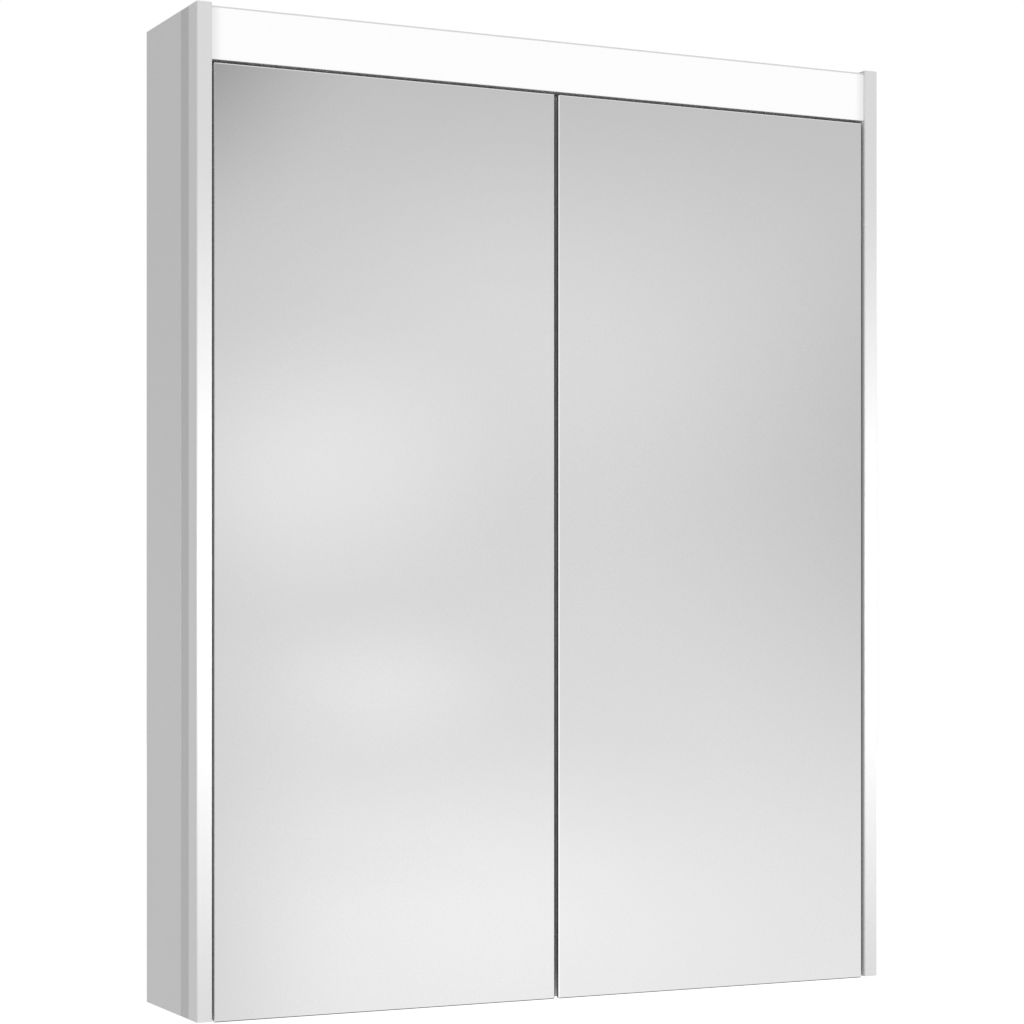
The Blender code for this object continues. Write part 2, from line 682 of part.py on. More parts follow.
def shelf_pin(name, side, line, level, material):
    """Pin with a collar, pushed into the side board."""
    profile = [
        (0.0, -PIN_SINK), (PIN_RADIUS, -PIN_SINK), (PIN_RADIUS, FIT), (PIN_COLLAR_RADIUS, FIT),
        (PIN_COLLAR_RADIUS, FIT + PIN_COLLAR), (PIN_RADIUS, FIT + PIN_COLLAR),
        (PIN_RADIUS, PIN_REACH), (0.0, PIN_REACH),
    ]
    towards_middle = Matrix.Rotation(math.radians(-90.0 * side), 4, "Y")
    place = (side * BODY_INNER, line, pin_level(level))
    turned(name, profile, material, place, towards_middle, PEG_ROUND)


def shelves(glass, metal):
    """Every shelf with its four pins; the shelf's ends stop short of the pins' collars."""
    for name, level in zip(SHELF_NAMES, SHELF_LEVELS):
        glass_shelf(name, level, glass)
        for label, side in SIDES.items():
            for row, line in PIN_LINES.items():
                shelf_pin("{}_{}_{}_pin".format(name, label, row), side, line, level, metal)


def door_bumpers(material):
    """Soft stop for each door on the deck's and on the floor's front edge."""
    profile = [
        (0.0, 0.0), (BUMPER_RADIUS, 0.0), (BUMPER_RADIUS, BUMPER_THICKNESS / 2),
        (BUMPER_RADIUS * 0.7, BUMPER_THICKNESS), (0.0, BUMPER_THICKNESS),
    ]
    towards_front = Matrix.Rotation(math.radians(90.0), 4, "X")
    deck_level = DECK_BOTTOM + BUMPER_RADIUS + 4 * FIT
    floor_level = (FLOOR_TOP + FLOOR_BOTTOM) / 2
    for label, side in SIDES.items():
        for end, level in (("upper", deck_level), ("lower", floor_level)):
            place = (side * BUMPER_FROM_MIDDLE, LEVEL_FRONT - FIT, level)
            turned("{}_{}_bumper".format(label, end), profile, material, place, towards_front, SMALL_ROUND)


def socket_layout():
    """Corners of the socket box and the middles of the socket and of the rocker."""
    high = Vector((BODY_INNER - 2 * FIT, LEVEL_REAR - FIT, DECK_BOTTOM - FIT))
    low = high - Vector((SOCKET_BOX_WIDTH, SOCKET_BOX_DEPTH, SOCKET_BOX_HEIGHT))
    level = (low.z + high.z) / 2
    socket = Vector(((low.x + SWITCH_BAY + high.x) / 2, low.y, level))
    rocker = Vector((low.x + SWITCH_BAY / 2, low.y + ROCKER_FRONT - ROCKER_DIP, level))
    return low, high, socket, rocker


def socket_box(material):
    """Box for the socket and the switch, open at the back for the wires."""
    low, high, socket, rocker = socket_layout()
    box = block("socket_box", low, high, material, SOCKET_BOX_EDGE)
    wall = Vector((SOCKET_BOX_WALL, SOCKET_BOX_WALL, SOCKET_BOX_WALL))
    hollow_low = low + wall + Vector((SWITCH_BAY, 0.0, 0.0))
    hollow_high = high - wall + Vector((0.0, SOCKET_BOX_DEPTH, 0.0))
    cut(box, block("socket_box_hollow", hollow_low, hollow_high, material))
    bore = round_along_y(SOCKET_RADIUS + SOCKET_WALL + FIT, SOCKET_BOX_DEPTH, ROUND)
    cut(box, cluster("socket_bore", [(bore, socket)], material))
    half_height = ROCKER_HALF * math.cos(ROCKER_TILT) + ROCKER_FRONT * math.sin(ROCKER_TILT)
    half_pocket = Vector((ROCKER_WIDTH / 2, POCKET_DEPTH, half_height))
    half_pocket += Vector((ROCKER_CLEARANCE, 0.0, ROCKER_CLEARANCE))
    middle = Vector((rocker.x, low.y, rocker.z))
    cut(box, block("rocker_pocket", middle - half_pocket, middle + half_pocket, material))
    bore_length = ROCKER_WIDTH + 2 * (TRUNNION_REACH + 2 * FIT)
    trunnion = round_along_x(TRUNNION_RADIUS + FIT, bore_length, SMALL_ROUND)
    cut(box, cluster("trunnion_bore", [(trunnion, rocker)], material))


def socket_insert(material):
    """Round socket recess with two contact holes in its floor."""
    socket = socket_layout()[2]
    outer = SOCKET_RADIUS + SOCKET_WALL
    depth = SOCKET_RECESS + SOCKET_FLOOR
    profile = [
        (0.0, depth), (outer, depth), (outer, -SOCKET_PROUD), (SOCKET_RADIUS, -SOCKET_PROUD),
        (SOCKET_RADIUS, SOCKET_RECESS), (0.0, SOCKET_RECESS),
    ]
    insert = turned("socket_insert", profile, material, socket, ALONG_BACK)
    hole = round_along_y(CONTACT_RADIUS, 2 * depth, SMALL_ROUND)
    middle = socket + Vector((0.0, depth, 0.0))
    places = [middle + Vector((step * CONTACT_SPACING / 2, 0.0, 0.0)) for step in (-1, 1)]
    cut(insert, cluster("contact_holes", [(hole, place) for place in places], material))


def rocker_switch(material):
    """Rocker of the light switch, resting tipped to one side; its origin is on its axis."""
    rocker = socket_layout()[3]
    outline = [
        (-ROCKER_FRONT, -ROCKER_HALF), (-ROCKER_FRONT + ROCKER_DIP, 0.0), (-ROCKER_FRONT, ROCKER_HALF),
        (0.0, ROCKER_HALF * 0.9), (ROCKER_REAR, 0.0), (0.0, -ROCKER_HALF * 0.9),
    ]
    tipped = Matrix.Rotation(-ROCKER_TILT, 4, "X")
    body = raised("rocker_switch", outline, ROCKER_WIDTH, material, rocker, tipped @ DRAWN_ON_YZ)
    length = ROCKER_WIDTH + 2 * TRUNNION_REACH
    trunnion = round_along_x(TRUNNION_RADIUS, length, SMALL_ROUND)
    unite(body, cluster("rocker_trunnion", [(trunnion, rocker)], material))


def make_finishes():
    """Every colour and gloss on the cabinet."""
    return {
        "board": finish("white_board", (0.80, 0.80, 0.80), 0.45),
        "profile": finish("white_profile", (0.84, 0.84, 0.84), 0.35),
        "cap": finish("grey_plastic", (0.70, 0.70, 0.70), 0.55),
        "housing": finish("coated_aluminium", (0.80, 0.80, 0.80), 0.38),
        "opal": finish("opal_cover", (0.92, 0.92, 0.92), 0.50),
        "mirror": finish("mirror_glass", (0.86, 0.87, 0.88), 0.03, metallic=1.0),
        "glass": finish("clear_glass", (0.85, 0.92, 0.90), 0.02, transmission=1.0),
        "steel": finish("nickel_plated_steel", (0.60, 0.60, 0.60), 0.30, metallic=1.0),
        "rubber": finish("grey_rubber", (0.30, 0.30, 0.30), 0.80),
        "circuit": finish("white_circuit_board", (0.75, 0.76, 0.75), 0.50),
        "plastic": finish("white_plastic", (0.78, 0.78, 0.78), 0.40),
        "rocker": finish("light_grey_plastic", (0.60, 0.60, 0.60), 0.35),
    }


def build_cabinet():
    """Make every piece of the cabinet."""
    clear_scene()
    finishes = make_finishes()
    for label, side in SIDES.items():
        side_board(label, side, finishes["board"])
        corner_post(label, side, finishes["profile"], finishes["cap"])
        wall_hanger(label, side, finishes["steel"])
        door(label, side, finishes)
        for end, level in HINGE_LEVELS.items():
            hinge_arm("{}_{}_hinge".format(label, end), side, level, finishes)
    level_boards(finishes["board"])
    back_board(finishes["board"])
    light_housing(finishes["housing"])
    light_diffuser(finishes["opal"])
    led_board(finishes["circuit"])
    light_supply(finishes["plastic"], finishes["plastic"])
    cable_grommet(finishes["rubber"])
    shelves(finishes["glass"], finishes["steel"])
    door_bumpers(finishes["rubber"])
    socket_box(finishes["plastic"])
    socket_insert(finishes["plastic"])
    rocker_switch(finishes["rocker"])


build_cabinet()
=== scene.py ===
"""Finished surfaces of a wall cabinet with two mirror doors and a light strip, round its fixed frame.

Metres, +Z up. The front faces -Y, the back stands on the wall plane Y = 0, and the origin is the
middle of the back. Every place and size comes from the frame or from the settings below.
"""

import json
import math

import bmesh
import bpy
from bpy.props import FloatProperty, FloatVectorProperty, IntProperty, PointerProperty
from mathutils import Matrix, Vector


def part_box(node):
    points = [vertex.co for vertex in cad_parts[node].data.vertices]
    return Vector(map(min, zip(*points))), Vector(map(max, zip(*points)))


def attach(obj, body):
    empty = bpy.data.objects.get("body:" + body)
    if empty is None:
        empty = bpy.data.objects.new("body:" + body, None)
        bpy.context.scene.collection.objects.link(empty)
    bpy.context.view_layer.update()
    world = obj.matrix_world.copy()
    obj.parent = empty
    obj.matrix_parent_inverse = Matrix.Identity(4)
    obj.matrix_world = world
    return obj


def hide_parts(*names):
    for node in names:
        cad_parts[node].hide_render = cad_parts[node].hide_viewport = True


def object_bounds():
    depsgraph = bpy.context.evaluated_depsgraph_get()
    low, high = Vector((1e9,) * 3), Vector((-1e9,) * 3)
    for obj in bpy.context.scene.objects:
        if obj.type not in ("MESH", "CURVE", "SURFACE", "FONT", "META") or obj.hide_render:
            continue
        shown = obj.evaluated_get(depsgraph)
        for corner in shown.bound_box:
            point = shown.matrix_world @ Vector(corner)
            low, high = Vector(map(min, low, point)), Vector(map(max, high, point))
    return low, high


bl_info = {
    "name": "Mirror Cabinet Finish",
    "version": (1, 0, 0),
    "blender": (4, 5, 0),
    "location": "View3D > Sidebar > Mirror Cabinet",
    "description": "Boards, posts, light strip, doors, hinges, shelves and socket of a mirror cabinet",
    "category": "Object",
}

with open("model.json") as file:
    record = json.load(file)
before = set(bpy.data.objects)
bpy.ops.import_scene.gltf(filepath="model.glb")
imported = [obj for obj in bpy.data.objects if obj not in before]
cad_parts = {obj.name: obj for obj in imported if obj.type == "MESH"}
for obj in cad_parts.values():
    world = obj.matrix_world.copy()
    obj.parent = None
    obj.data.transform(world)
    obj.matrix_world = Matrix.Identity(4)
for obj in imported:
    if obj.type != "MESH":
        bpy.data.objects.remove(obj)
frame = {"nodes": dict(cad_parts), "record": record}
FRAME_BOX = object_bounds()

BODIES = frame["record"]["behaviour"]["bodies"]
BODY_OF = {node: body for body, nodes in BODIES.items() for node in nodes}
SIDES = {"left": -1.0, "right": 1.0}
ENDS = ("upper", "lower")
SHELVES = ("lower_shelf", "upper_shelf")
ROWS = ("front", "rear")

WELD = 0.000002
FLAT_ANGLE = math.radians(0.5)
EDGE_ANGLE = math.radians(32.0)
SHORTEST_EDGE = 0.0006
CORNER_STEPS = 4
DOME_STEPS = 6
HOLE_FACETS = 28
HEAD_FACETS = 28
PIN_FACETS = 32
BUMPER_FACETS = 32
# Share of a face's normal along a direction from which the face counts as square to it
SQUARE_ON = 0.9


# Settings that a user would change


class BoardSettings(bpy.types.PropertyGroup):
    """Boards of the body and of the doors."""
    colour: FloatVectorProperty(
        name="Lacquer", description="Colour of the white lacquer", subtype="COLOR",
        default=(0.78, 0.78, 0.78), min=0.0, max=1.0
    )
    edge: FloatProperty(
        name="Edge", description="Radius that rounds a board's edges", unit="LENGTH", default=0.00018
    )
    hole_gap: FloatProperty(
        name="Hole gap", description="Room round a shelf pin in its hole", unit="LENGTH", default=0.0003
    )
    hole_pitch: FloatProperty(
        name="Hole pitch", description="Height between two holes of a line", unit="LENGTH", default=0.032
    )
    holes_each_way: IntProperty(
        name="Holes each way", description="Holes over and under the one in use", default=2
    )


class PostSettings(bpy.types.PropertyGroup):
    """Corner posts."""
    colour: FloatVectorProperty(
        name="Powder coat", description="Colour of the posts", subtype="COLOR",
        default=(0.83, 0.83, 0.83), min=0.0, max=1.0
    )
    band_colour: FloatVectorProperty(
        name="Band", description="Colour of the sunk band on a post's side", subtype="COLOR",
        default=(0.62, 0.62, 0.62), min=0.0, max=1.0
    )
    edge: FloatProperty(
        name="Edge", description="Radius that rounds a post's edges", unit="LENGTH", default=0.00014
    )
    grain: FloatProperty(
        name="Grain", description="Pitch of the powder coat's grain", unit="LENGTH", default=0.0011
    )


class LightSettings(bpy.types.PropertyGroup):
    """Light strip and what feeds it."""
    glow: FloatProperty(
        name="Glow", description="Light that the opal cover gives off", default=0.84, min=0.0
    )
    cover_colour: FloatVectorProperty(
        name="Opal cover", description="Colour of the opal cover", subtype="COLOR",
        default=(0.14, 0.14, 0.14), min=0.0, max=1.0
    )
    # Length of the painted shade from the posts, which dims the glow at each end of the strip
    end_shade: FloatProperty(
        name="End fade", description="Length over which the glow falls off at each end",
        unit="LENGTH", default=0.009
    )
    housing_colour: FloatVectorProperty(
        name="Housing", description="Colour of the coat on the light's channel", subtype="COLOR",
        default=(0.80, 0.80, 0.80), min=0.0, max=1.0
    )
    edge: FloatProperty(
        name="Edge", description="Radius that rounds the cover's edges", unit="LENGTH", default=0.00025
    )
    screw_radius: FloatProperty(
        name="Terminal screw", description="Radius of a terminal's screw", unit="LENGTH", default=0.0021
    )


class MirrorSettings(bpy.types.PropertyGroup):
    """Mirrors of the doors."""
    silver: FloatVectorProperty(
        name="Silver", description="Colour of the silvered glass", subtype="COLOR",
        default=(0.90, 0.90, 0.90), min=0.0, max=1.0
    )
    gloss: FloatProperty(
        name="Roughness", description="Roughness of the silvered glass", default=0.03, min=0.0, max=1.0
    )
    edge: FloatProperty(
        name="Edge", description="Radius that rounds a polished glass edge", unit="LENGTH", default=0.0001
    )


class HingeSettings(bpy.types.PropertyGroup):
    """Cup hinges, hangers and their screws."""
    colour: FloatVectorProperty(
        name="Nickel", description="Colour of the nickel plating", subtype="COLOR",
        default=(0.66, 0.65, 0.63), min=0.0, max=1.0
    )
    edge: FloatProperty(
        name="Edge", description="Radius that rounds stamped edges", unit="LENGTH", default=0.00022
    )
    screw_radius: FloatProperty(
        name="Screw head", description="Radius of a screw's head", unit="LENGTH", default=0.0034
    )
    screw_height: FloatProperty(
        name="Head height", description="Height of a screw's head", unit="LENGTH", default=0.0011
    )


class ShelfSettings(bpy.types.PropertyGroup):
    """Glass shelves and their pins."""
    glass: FloatVectorProperty(
        name="Glass", description="Colour of the shelves' glass", subtype="COLOR",
        default=(0.90, 0.96, 0.94), min=0.0, max=1.0
    )
    edge_glass: FloatVectorProperty(
        name="Edge glass", description="Colour of the shelves' edges", subtype="COLOR",
        default=(0.42, 0.70, 0.61), min=0.0, max=1.0
    )
    edge: FloatProperty(
        name="Edge", description="Radius that rounds a shelf's edges", unit="LENGTH", default=0.0008
    )


class SocketSettings(bpy.types.PropertyGroup):
    """Socket, switch and their box."""
    colour: FloatVectorProperty(
        name="Plastic", description="Colour of the moulded box", subtype="COLOR",
        default=(0.80, 0.80, 0.79), min=0.0, max=1.0
    )
    edge: FloatProperty(
        name="Edge", description="Radius that rounds moulded edges", unit="LENGTH", default=0.0003
    )
    clip_width: FloatProperty(
        name="Earth clip", description="Width of an earth clip", unit="LENGTH", default=0.0042
    )


class StageSettings(bpy.types.PropertyGroup):
    """Room, light and camera."""
    focal: FloatProperty(
        name="Focal length", description="Camera's focal length in millimetres", default=93.964
    )
    turn: FloatProperty(
        name="Turn", description="Camera's turn to the right", subtype="ANGLE",
        default=math.radians(25.77)
    )
    place: FloatVectorProperty(
        name="Place", description="Where the camera stands", subtype="TRANSLATION",
        default=(-0.95182, -2.00792, -0.07588)
    )
    rise: FloatProperty(
        name="Rise", description="Upward shift of the camera's frame", default=0.1002
    )
    room_light: FloatProperty(
        name="Room light", description="Light from all round", default=0.31, min=0.0
    )
    front_share: FloatProperty(
        name="Front share", description="How much more light comes from straight in front",
        default=2.63, min=0.0
    )
    rear_share: FloatProperty(
        name="Rear share", description="How much more light comes from straight behind",
        default=1.5, min=0.0
    )
    front_light: FloatProperty(
        name="Front light", description="Power of the soft light in front", subtype="POWER",
        default=0.88, min=0.0
    )
    floor_level: FloatProperty(
        name="Floor", description="Height of the floor under the cabinet's middle", unit="LENGTH",
        default=-1.6
    )


class CabinetSettings(bpy.types.PropertyGroup):
    """Every group of settings."""
    boards: PointerProperty(type=BoardSettings)
    posts: PointerProperty(type=PostSettings)
    light: PointerProperty(type=LightSettings)
    mirrors: PointerProperty(type=MirrorSettings)
    hinges: PointerProperty(type=HingeSettings)
    shelves: PointerProperty(type=ShelfSettings)
    socket: PointerProperty(type=SocketSettings)
    stage: PointerProperty(type=StageSettings)


def chosen():
    """The settings of this scene."""
    return bpy.context.scene.mirror_cabinet


# Nodes of the materials

NUMBER = "NodeSocketFloat"
VECTOR = "NodeSocketVector"
COLOUR = "NodeSocketColor"

# The Mix node's colour sockets share their names with its others, so they go by number
MIX_FIRST_COLOUR = 6
MIX_SECOND_COLOUR = 7
MIX_RESULT_COLOUR = 2

BLACK = (0.0, 0.0, 0.0, 1.0)
WHITE = (1.0, 1.0, 1.0, 1.0)
DUST_COLOUR = (0.55, 0.54, 0.52, 1.0)
DUST_DULLING = 0.4
DRIFT_SPREAD = 0.25
FLECK_SHARE = 0.8
WEAR_RADIUS = 0.0006
COAT_ROUGHNESS = 0.12
GLASS_REFRACTION = 1.5
# Patterns per metre
WEAR_PATTERN = 60.0
DUST_PATTERN = 22.0
SMUDGE_PATTERN = 5.0
SMUDGE_SLANT = math.radians(28.0)


def feed(tree, socket, value):
    """Link a value to a socket, or set it where it is a plain number."""
    if isinstance(value, bpy.types.NodeSocket):
        tree.links.new(value, socket)
    else:
        socket.default_value = value


def feed_all(tree, node, values):
    """Feed a node's sockets, each given by its name or number."""
    for socket, value in values.items():
        feed(tree, node.inputs[socket], value)


def add_node(tree, kind, values, **options):
    """A node with its options set and its sockets fed."""
    node = tree.nodes.new(kind)
    for option, value in options.items():
        setattr(node, option, value)
    feed_all(tree, node, values)
    return node


def worked(tree, operation, *values, clamp=False):
    """The result of a Math node."""
    node = add_node(
        tree, "ShaderNodeMath", dict(enumerate(values)), operation=operation, use_clamp=clamp
    )
    return node.outputs["Value"]


def ranged(tree, value, start, end, low=0.0, high=1.0):
    """A value taken smoothly from one range to another."""
    values = {"Value": value, "From Min": start, "From Max": end, "To Min": low, "To Max": high}
    node = add_node(tree, "ShaderNodeMapRange", values, interpolation_type="SMOOTHSTEP")
    return node.outputs["Result"]


def mixed(tree, share, first, second):
    """Two colours mixed by a share."""
    values = {"Factor": share, MIX_FIRST_COLOUR: first, MIX_SECOND_COLOUR: second}
    return add_node(tree, "ShaderNodeMix", values, data_type="RGBA").outputs[MIX_RESULT_COLOUR]


def object_place(tree):
    """The place on the piece, in its own metres."""
    return tree.nodes.new("ShaderNodeTexCoord").outputs["Object"]


def noise(tree, place, scale, detail, roughness=0.5, distortion=0.0):
    """The values of a noise pattern."""
    values = {
        "Vector": place, "Scale": scale, "Detail": detail, "Roughness": roughness,
        "Distortion": distortion,
    }
    return add_node(tree, "ShaderNodeTexNoise", values).outputs["Fac"]


def effect(name, inputs, outputs, build):
    """A shader node group, built once; build gets the tree and its inputs and gives its results."""
    group = bpy.data.node_groups.get(name)
    if group is not None:
        return group
    group = bpy.data.node_groups.new(name, "ShaderNodeTree")
    for label, kind, value in inputs:
        socket = group.interface.new_socket(name=label, in_out="INPUT", socket_type=kind)
        socket.default_value = value
    for label, kind in outputs:
        group.interface.new_socket(name=label, in_out="OUTPUT", socket_type=kind)
    start = group.nodes.new("NodeGroupInput")
    end = group.nodes.new("NodeGroupOutput")
    feed_all(group, end, build(group, start.outputs))
    return group


def grain_effect():
    """Fine grain of a coat, or brushed lines where it is stretched."""
    def build(tree, given):
        values = {0: object_place(tree), 1: given["Stretch"]}
        place = add_node(tree, "ShaderNodeVectorMath", values, operation="MULTIPLY")
        scale = worked(tree, "DIVIDE", 1.0, given["Pitch"])
        height = noise(tree, place.outputs["Vector"], scale, 2.5, roughness=0.6)
        return {"Mask": ranged(tree, height, 0.3, 0.7), "Height": height}
    inputs = [("Pitch", NUMBER, 0.001), ("Stretch", VECTOR, (1.0, 1.0, 1.0))]
    return effect("grain", inputs, [("Mask", NUMBER), ("Height", NUMBER)], build)


def drift_effect():
    """Slow change of a colour's lightness over a large surface."""
    def build(tree, given):
        scale = worked(tree, "DIVIDE", 1.0, given["Spread"])
        slow = noise(tree, object_place(tree), scale, 1.0)
        low = worked(tree, "SUBTRACT", 1.0, given["Amount"])
        high = worked(tree, "ADD", 1.0, given["Amount"])
        values = {0: given["Colour"], "Scale": ranged(tree, slow, 0.25, 0.75, low, high)}
        scaled = add_node(tree, "ShaderNodeVectorMath", values, operation="SCALE")
        return {"Colour": scaled.outputs["Vector"]}
    inputs = [
        ("Colour", COLOUR, (0.8, 0.8, 0.8, 1.0)), ("Spread", NUMBER, 0.3), ("Amount", NUMBER, 0.02)
    ]
    return effect("drift", inputs, [("Colour", COLOUR)], build)


def wear_effect():
    """Broken mask along the edges, where hands and cloths rub."""
    def build(tree, given):
        rounded = add_node(tree, "ShaderNodeBevel", {"Radius": given["Radius"]}, samples=4)
        flat = tree.nodes.new("ShaderNodeNewGeometry")
        values = {0: rounded.outputs["Normal"], 1: flat.outputs["Normal"]}
        along = add_node(tree, "ShaderNodeVectorMath", values, operation="DOT_PRODUCT")
        bend = worked(tree, "SUBTRACT", 1.0, along.outputs["Value"])
        edge = ranged(tree, bend, 0.01, 0.16)
        broken = ranged(tree, noise(tree, object_place(tree), WEAR_PATTERN, 4.0), 0.42, 0.62)
        mask = worked(tree, "MULTIPLY", edge, broken)
        return {"Mask": worked(tree, "MULTIPLY", mask, given["Amount"])}
    inputs = [("Radius", NUMBER, WEAR_RADIUS), ("Amount", NUMBER, 0.5)]
    return effect("edge_wear", inputs, [("Mask", NUMBER)], build)


def dust_effect():
    """Thin dust that lies on faces turned upwards."""
    def build(tree, given):
        facing = tree.nodes.new("ShaderNodeNewGeometry")
        split = add_node(tree, "ShaderNodeSeparateXYZ", {"Vector": facing.outputs["Normal"]})
        upward = ranged(tree, split.outputs["Z"], 0.6, 1.0)
        patchy = ranged(tree, noise(tree, object_place(tree), DUST_PATTERN, 6.0), 0.3, 0.75)
        mask = worked(tree, "MULTIPLY", upward, patchy)
        return {"Mask": worked(tree, "MULTIPLY", mask, given["Amount"])}
    return effect("dust", [("Amount", NUMBER, 0.2)], [("Mask", NUMBER)], build)


def smudge_effect():
    """Faint wiped smudges that change only the gloss."""
    def build(tree, given):
        turn = (0.0, SMUDGE_SLANT, 0.0)
        values = {"Vector": object_place(tree), "Rotation": turn, "Scale": (1.0, 1.0, 3.2)}
        stretched = add_node(tree, "ShaderNodeMapping", values).outputs["Vector"]
        mask = ranged(tree, noise(tree, stretched, SMUDGE_PATTERN, 5.0, distortion=0.6), 0.45, 0.75)
        return {"Mask": worked(tree, "MULTIPLY", mask, given["Amount"])}
    return effect("smudges", [("Amount", NUMBER, 0.5)], [("Mask", NUMBER)], build)


def placed_effect(tree, group, values):
    """An effect placed in a material with its own values."""
    return add_node(tree, "ShaderNodeGroup", values, node_tree=group).outputs


def opaque(colour):
    """A colour with full cover."""
    return (*colour, 1.0)


def surface(name, colour, roughness, metallic=0.0, coat=0.0, pitch=0.001, relief=0.00001,
            stretch=(1.0, 1.0, 1.0), fleck=0.0, gloss_change=0.05, drift=0.015,
            wear=0.0, wear_colour=(0.6, 0.6, 0.6), dust=0.0, smudges=0.0):
    """A finish whose colour, gloss and relief come from the shared effects."""
    made = bpy.data.materials.get(name)
    if made is not None:
        return made
    made = bpy.data.materials.new(name)
    made.use_nodes = True
    made.diffuse_color = opaque(colour)
    tree = made.node_tree
    grain = placed_effect(tree, grain_effect(), {"Pitch": pitch, "Stretch": stretch})
    tone = placed_effect(
        tree, drift_effect(), {"Colour": opaque(colour), "Spread": DRIFT_SPREAD, "Amount": drift}
    )["Colour"]
    if fleck > 0.0:
        darker = opaque([channel * (1.0 - fleck) for channel in colour])
        tone = mixed(tree, worked(tree, "MULTIPLY", grain["Mask"], FLECK_SHARE), tone, darker)
    gloss = ranged(
        tree, grain["Height"], 0.25, 0.75, roughness - gloss_change, roughness + gloss_change
    )
    if wear > 0.0:
        worn = placed_effect(tree, wear_effect(), {"Radius": WEAR_RADIUS, "Amount": wear})["Mask"]
        tone = mixed(tree, worn, tone, opaque(wear_colour))
    if dust > 0.0:
        dusty = placed_effect(tree, dust_effect(), {"Amount": dust})["Mask"]
        tone = mixed(tree, dusty, tone, DUST_COLOUR)
        gloss = worked(tree, "ADD", gloss, worked(tree, "MULTIPLY", dusty, DUST_DULLING), clamp=True)
    if smudges > 0.0:
        wiped = placed_effect(tree, smudge_effect(), {"Amount": smudges})["Mask"]
        gloss = worked(tree, "ADD", gloss, wiped, clamp=True)
    bump = add_node(tree, "ShaderNodeBump", {"Height": grain["Height"], "Distance": relief})
    feed_all(tree, tree.nodes["Principled BSDF"], {
        "Metallic": metallic, "Coat Weight": coat, "Coat Roughness": COAT_ROUGHNESS,
        "Base Color": tone, "Roughness": gloss, "Normal": bump.outputs["Normal"],
    })
    return made


def white_lacquer():
    """Board lacquer with a fine orange peel."""
    return surface(
        "white_lacquer", chosen().boards.colour, 0.42, coat=0.08, pitch=0.0016, relief=0.00003,
        fleck=0.035, drift=0.012, wear=0.12, wear_colour=(0.70, 0.69, 0.67), dust=0.10
    )


def white_foil():
    """Foil on the boards inside and on the core of the doors."""
    return surface(
        "white_foil", (0.76, 0.76, 0.75), 0.48, pitch=0.0006, relief=0.00002, fleck=0.03,
        drift=0.01, wear=0.10, wear_colour=(0.66, 0.62, 0.56), dust=0.08
    )


def raw_hardboard():
    """Pressed fibres on the rear of the back board."""
    return surface(
        "raw_hardboard", (0.76, 0.74, 0.70), 0.72, pitch=0.0022, relief=0.00012, fleck=0.16,
        stretch=(1.0, 1.0, 1.6), drift=0.05
    )


def powder_coat():
    """White powder coat on the posts."""
    posts = chosen().posts
    return surface(
        "powder_coat", posts.colour, 0.36, coat=0.05, pitch=posts.grain, relief=0.00003,
        fleck=0.03, drift=0.01, wear=0.10, wear_colour=(0.72, 0.72, 0.72), dust=0.06
    )


def darker_band():
    """Darker grey on the faces of a post's sunk band."""
    posts = chosen().posts
    return surface(
        "darker_band", posts.band_colour, 0.40, pitch=posts.grain, relief=0.00003, fleck=0.035,
        drift=0.01
    )


def cap_plastic():
    """Moulded plastic of the posts' end plugs."""
    return surface(
        "cap_plastic", (0.72, 0.72, 0.72), 0.50, pitch=0.0005, relief=0.00003, fleck=0.05,
        wear=0.15, wear_colour=(0.80, 0.80, 0.80), dust=0.15
    )


def housing_coat():
    """White coat on the light strip's aluminium channel, with the draw lines showing faintly."""
    return surface(
        "housing_coat", chosen().light.housing_colour, 0.38, pitch=0.0006, relief=0.00001,
        stretch=(0.05, 1.0, 1.0), fleck=0.04, wear=0.10, wear_colour=(0.66, 0.66, 0.67), dust=0.06
    )


# Share of the glow left at the strip's very ends: painted shade where the posts meet the cover
END_SHADED_GLOW = 0.82


def opal_acrylic():
    """Opal cover, lit from inside, with painted shade from the posts dimming its glow at its two ends."""
    light = chosen().light
    made = surface(
        "opal_acrylic", light.cover_colour, 0.42, pitch=0.003, relief=0.00001, fleck=0.06, drift=0.03
    )
    tree = made.node_tree
    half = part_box("light_diffuser")[1].x
    place = add_node(tree, "ShaderNodeSeparateXYZ", {"Vector": object_place(tree)})
    from_middle = worked(tree, "ABSOLUTE", place.outputs["X"])
    # Painted shade: the glow falls off towards each end, where the posts meet the cover
    glow = ranged(tree, from_middle, half - light.end_shade, half, 1.0, END_SHADED_GLOW)
    values = {"Emission Color": glow, "Emission Strength": light.glow}
    feed_all(tree, tree.nodes["Principled BSDF"], values)
    return made


def silvered_glass():
    """Mirror: silver behind clear glass, with faint wiping smudges."""
    mirrors = chosen().mirrors
    return surface(
        "silvered_glass", mirrors.silver, mirrors.gloss, metallic=1.0, pitch=0.0012,
        relief=0.0, fleck=0.035, gloss_change=0.01, drift=0.012, smudges=0.06
    )


def glass_edge():
    """Ground and polished edge of a mirror, with a faint green."""
    return surface(
        "glass_edge", (0.13, 0.17, 0.16), 0.16, coat=0.6, pitch=0.0008, relief=0.000008,
        stretch=(1.0, 1.0, 0.1), fleck=0.12, gloss_change=0.06
    )


def mirror_backing():
    """Grey paint that protects the silver."""
    return surface(
        "mirror_backing", (0.34, 0.35, 0.36), 0.60, pitch=0.0015, relief=0.00003, fleck=0.10
    )


def clear_glass(name, colour, roughness):
    """Glass that lets the light through."""
    made = surface(
        name, colour, roughness, pitch=0.01, relief=0.0, gloss_change=roughness / 3, drift=0.01
    )
    tree = made.node_tree
    values = {"Transmission Weight": 1.0, "IOR": GLASS_REFRACTION}
    feed_all(tree, tree.nodes["Principled BSDF"], values)
    return made


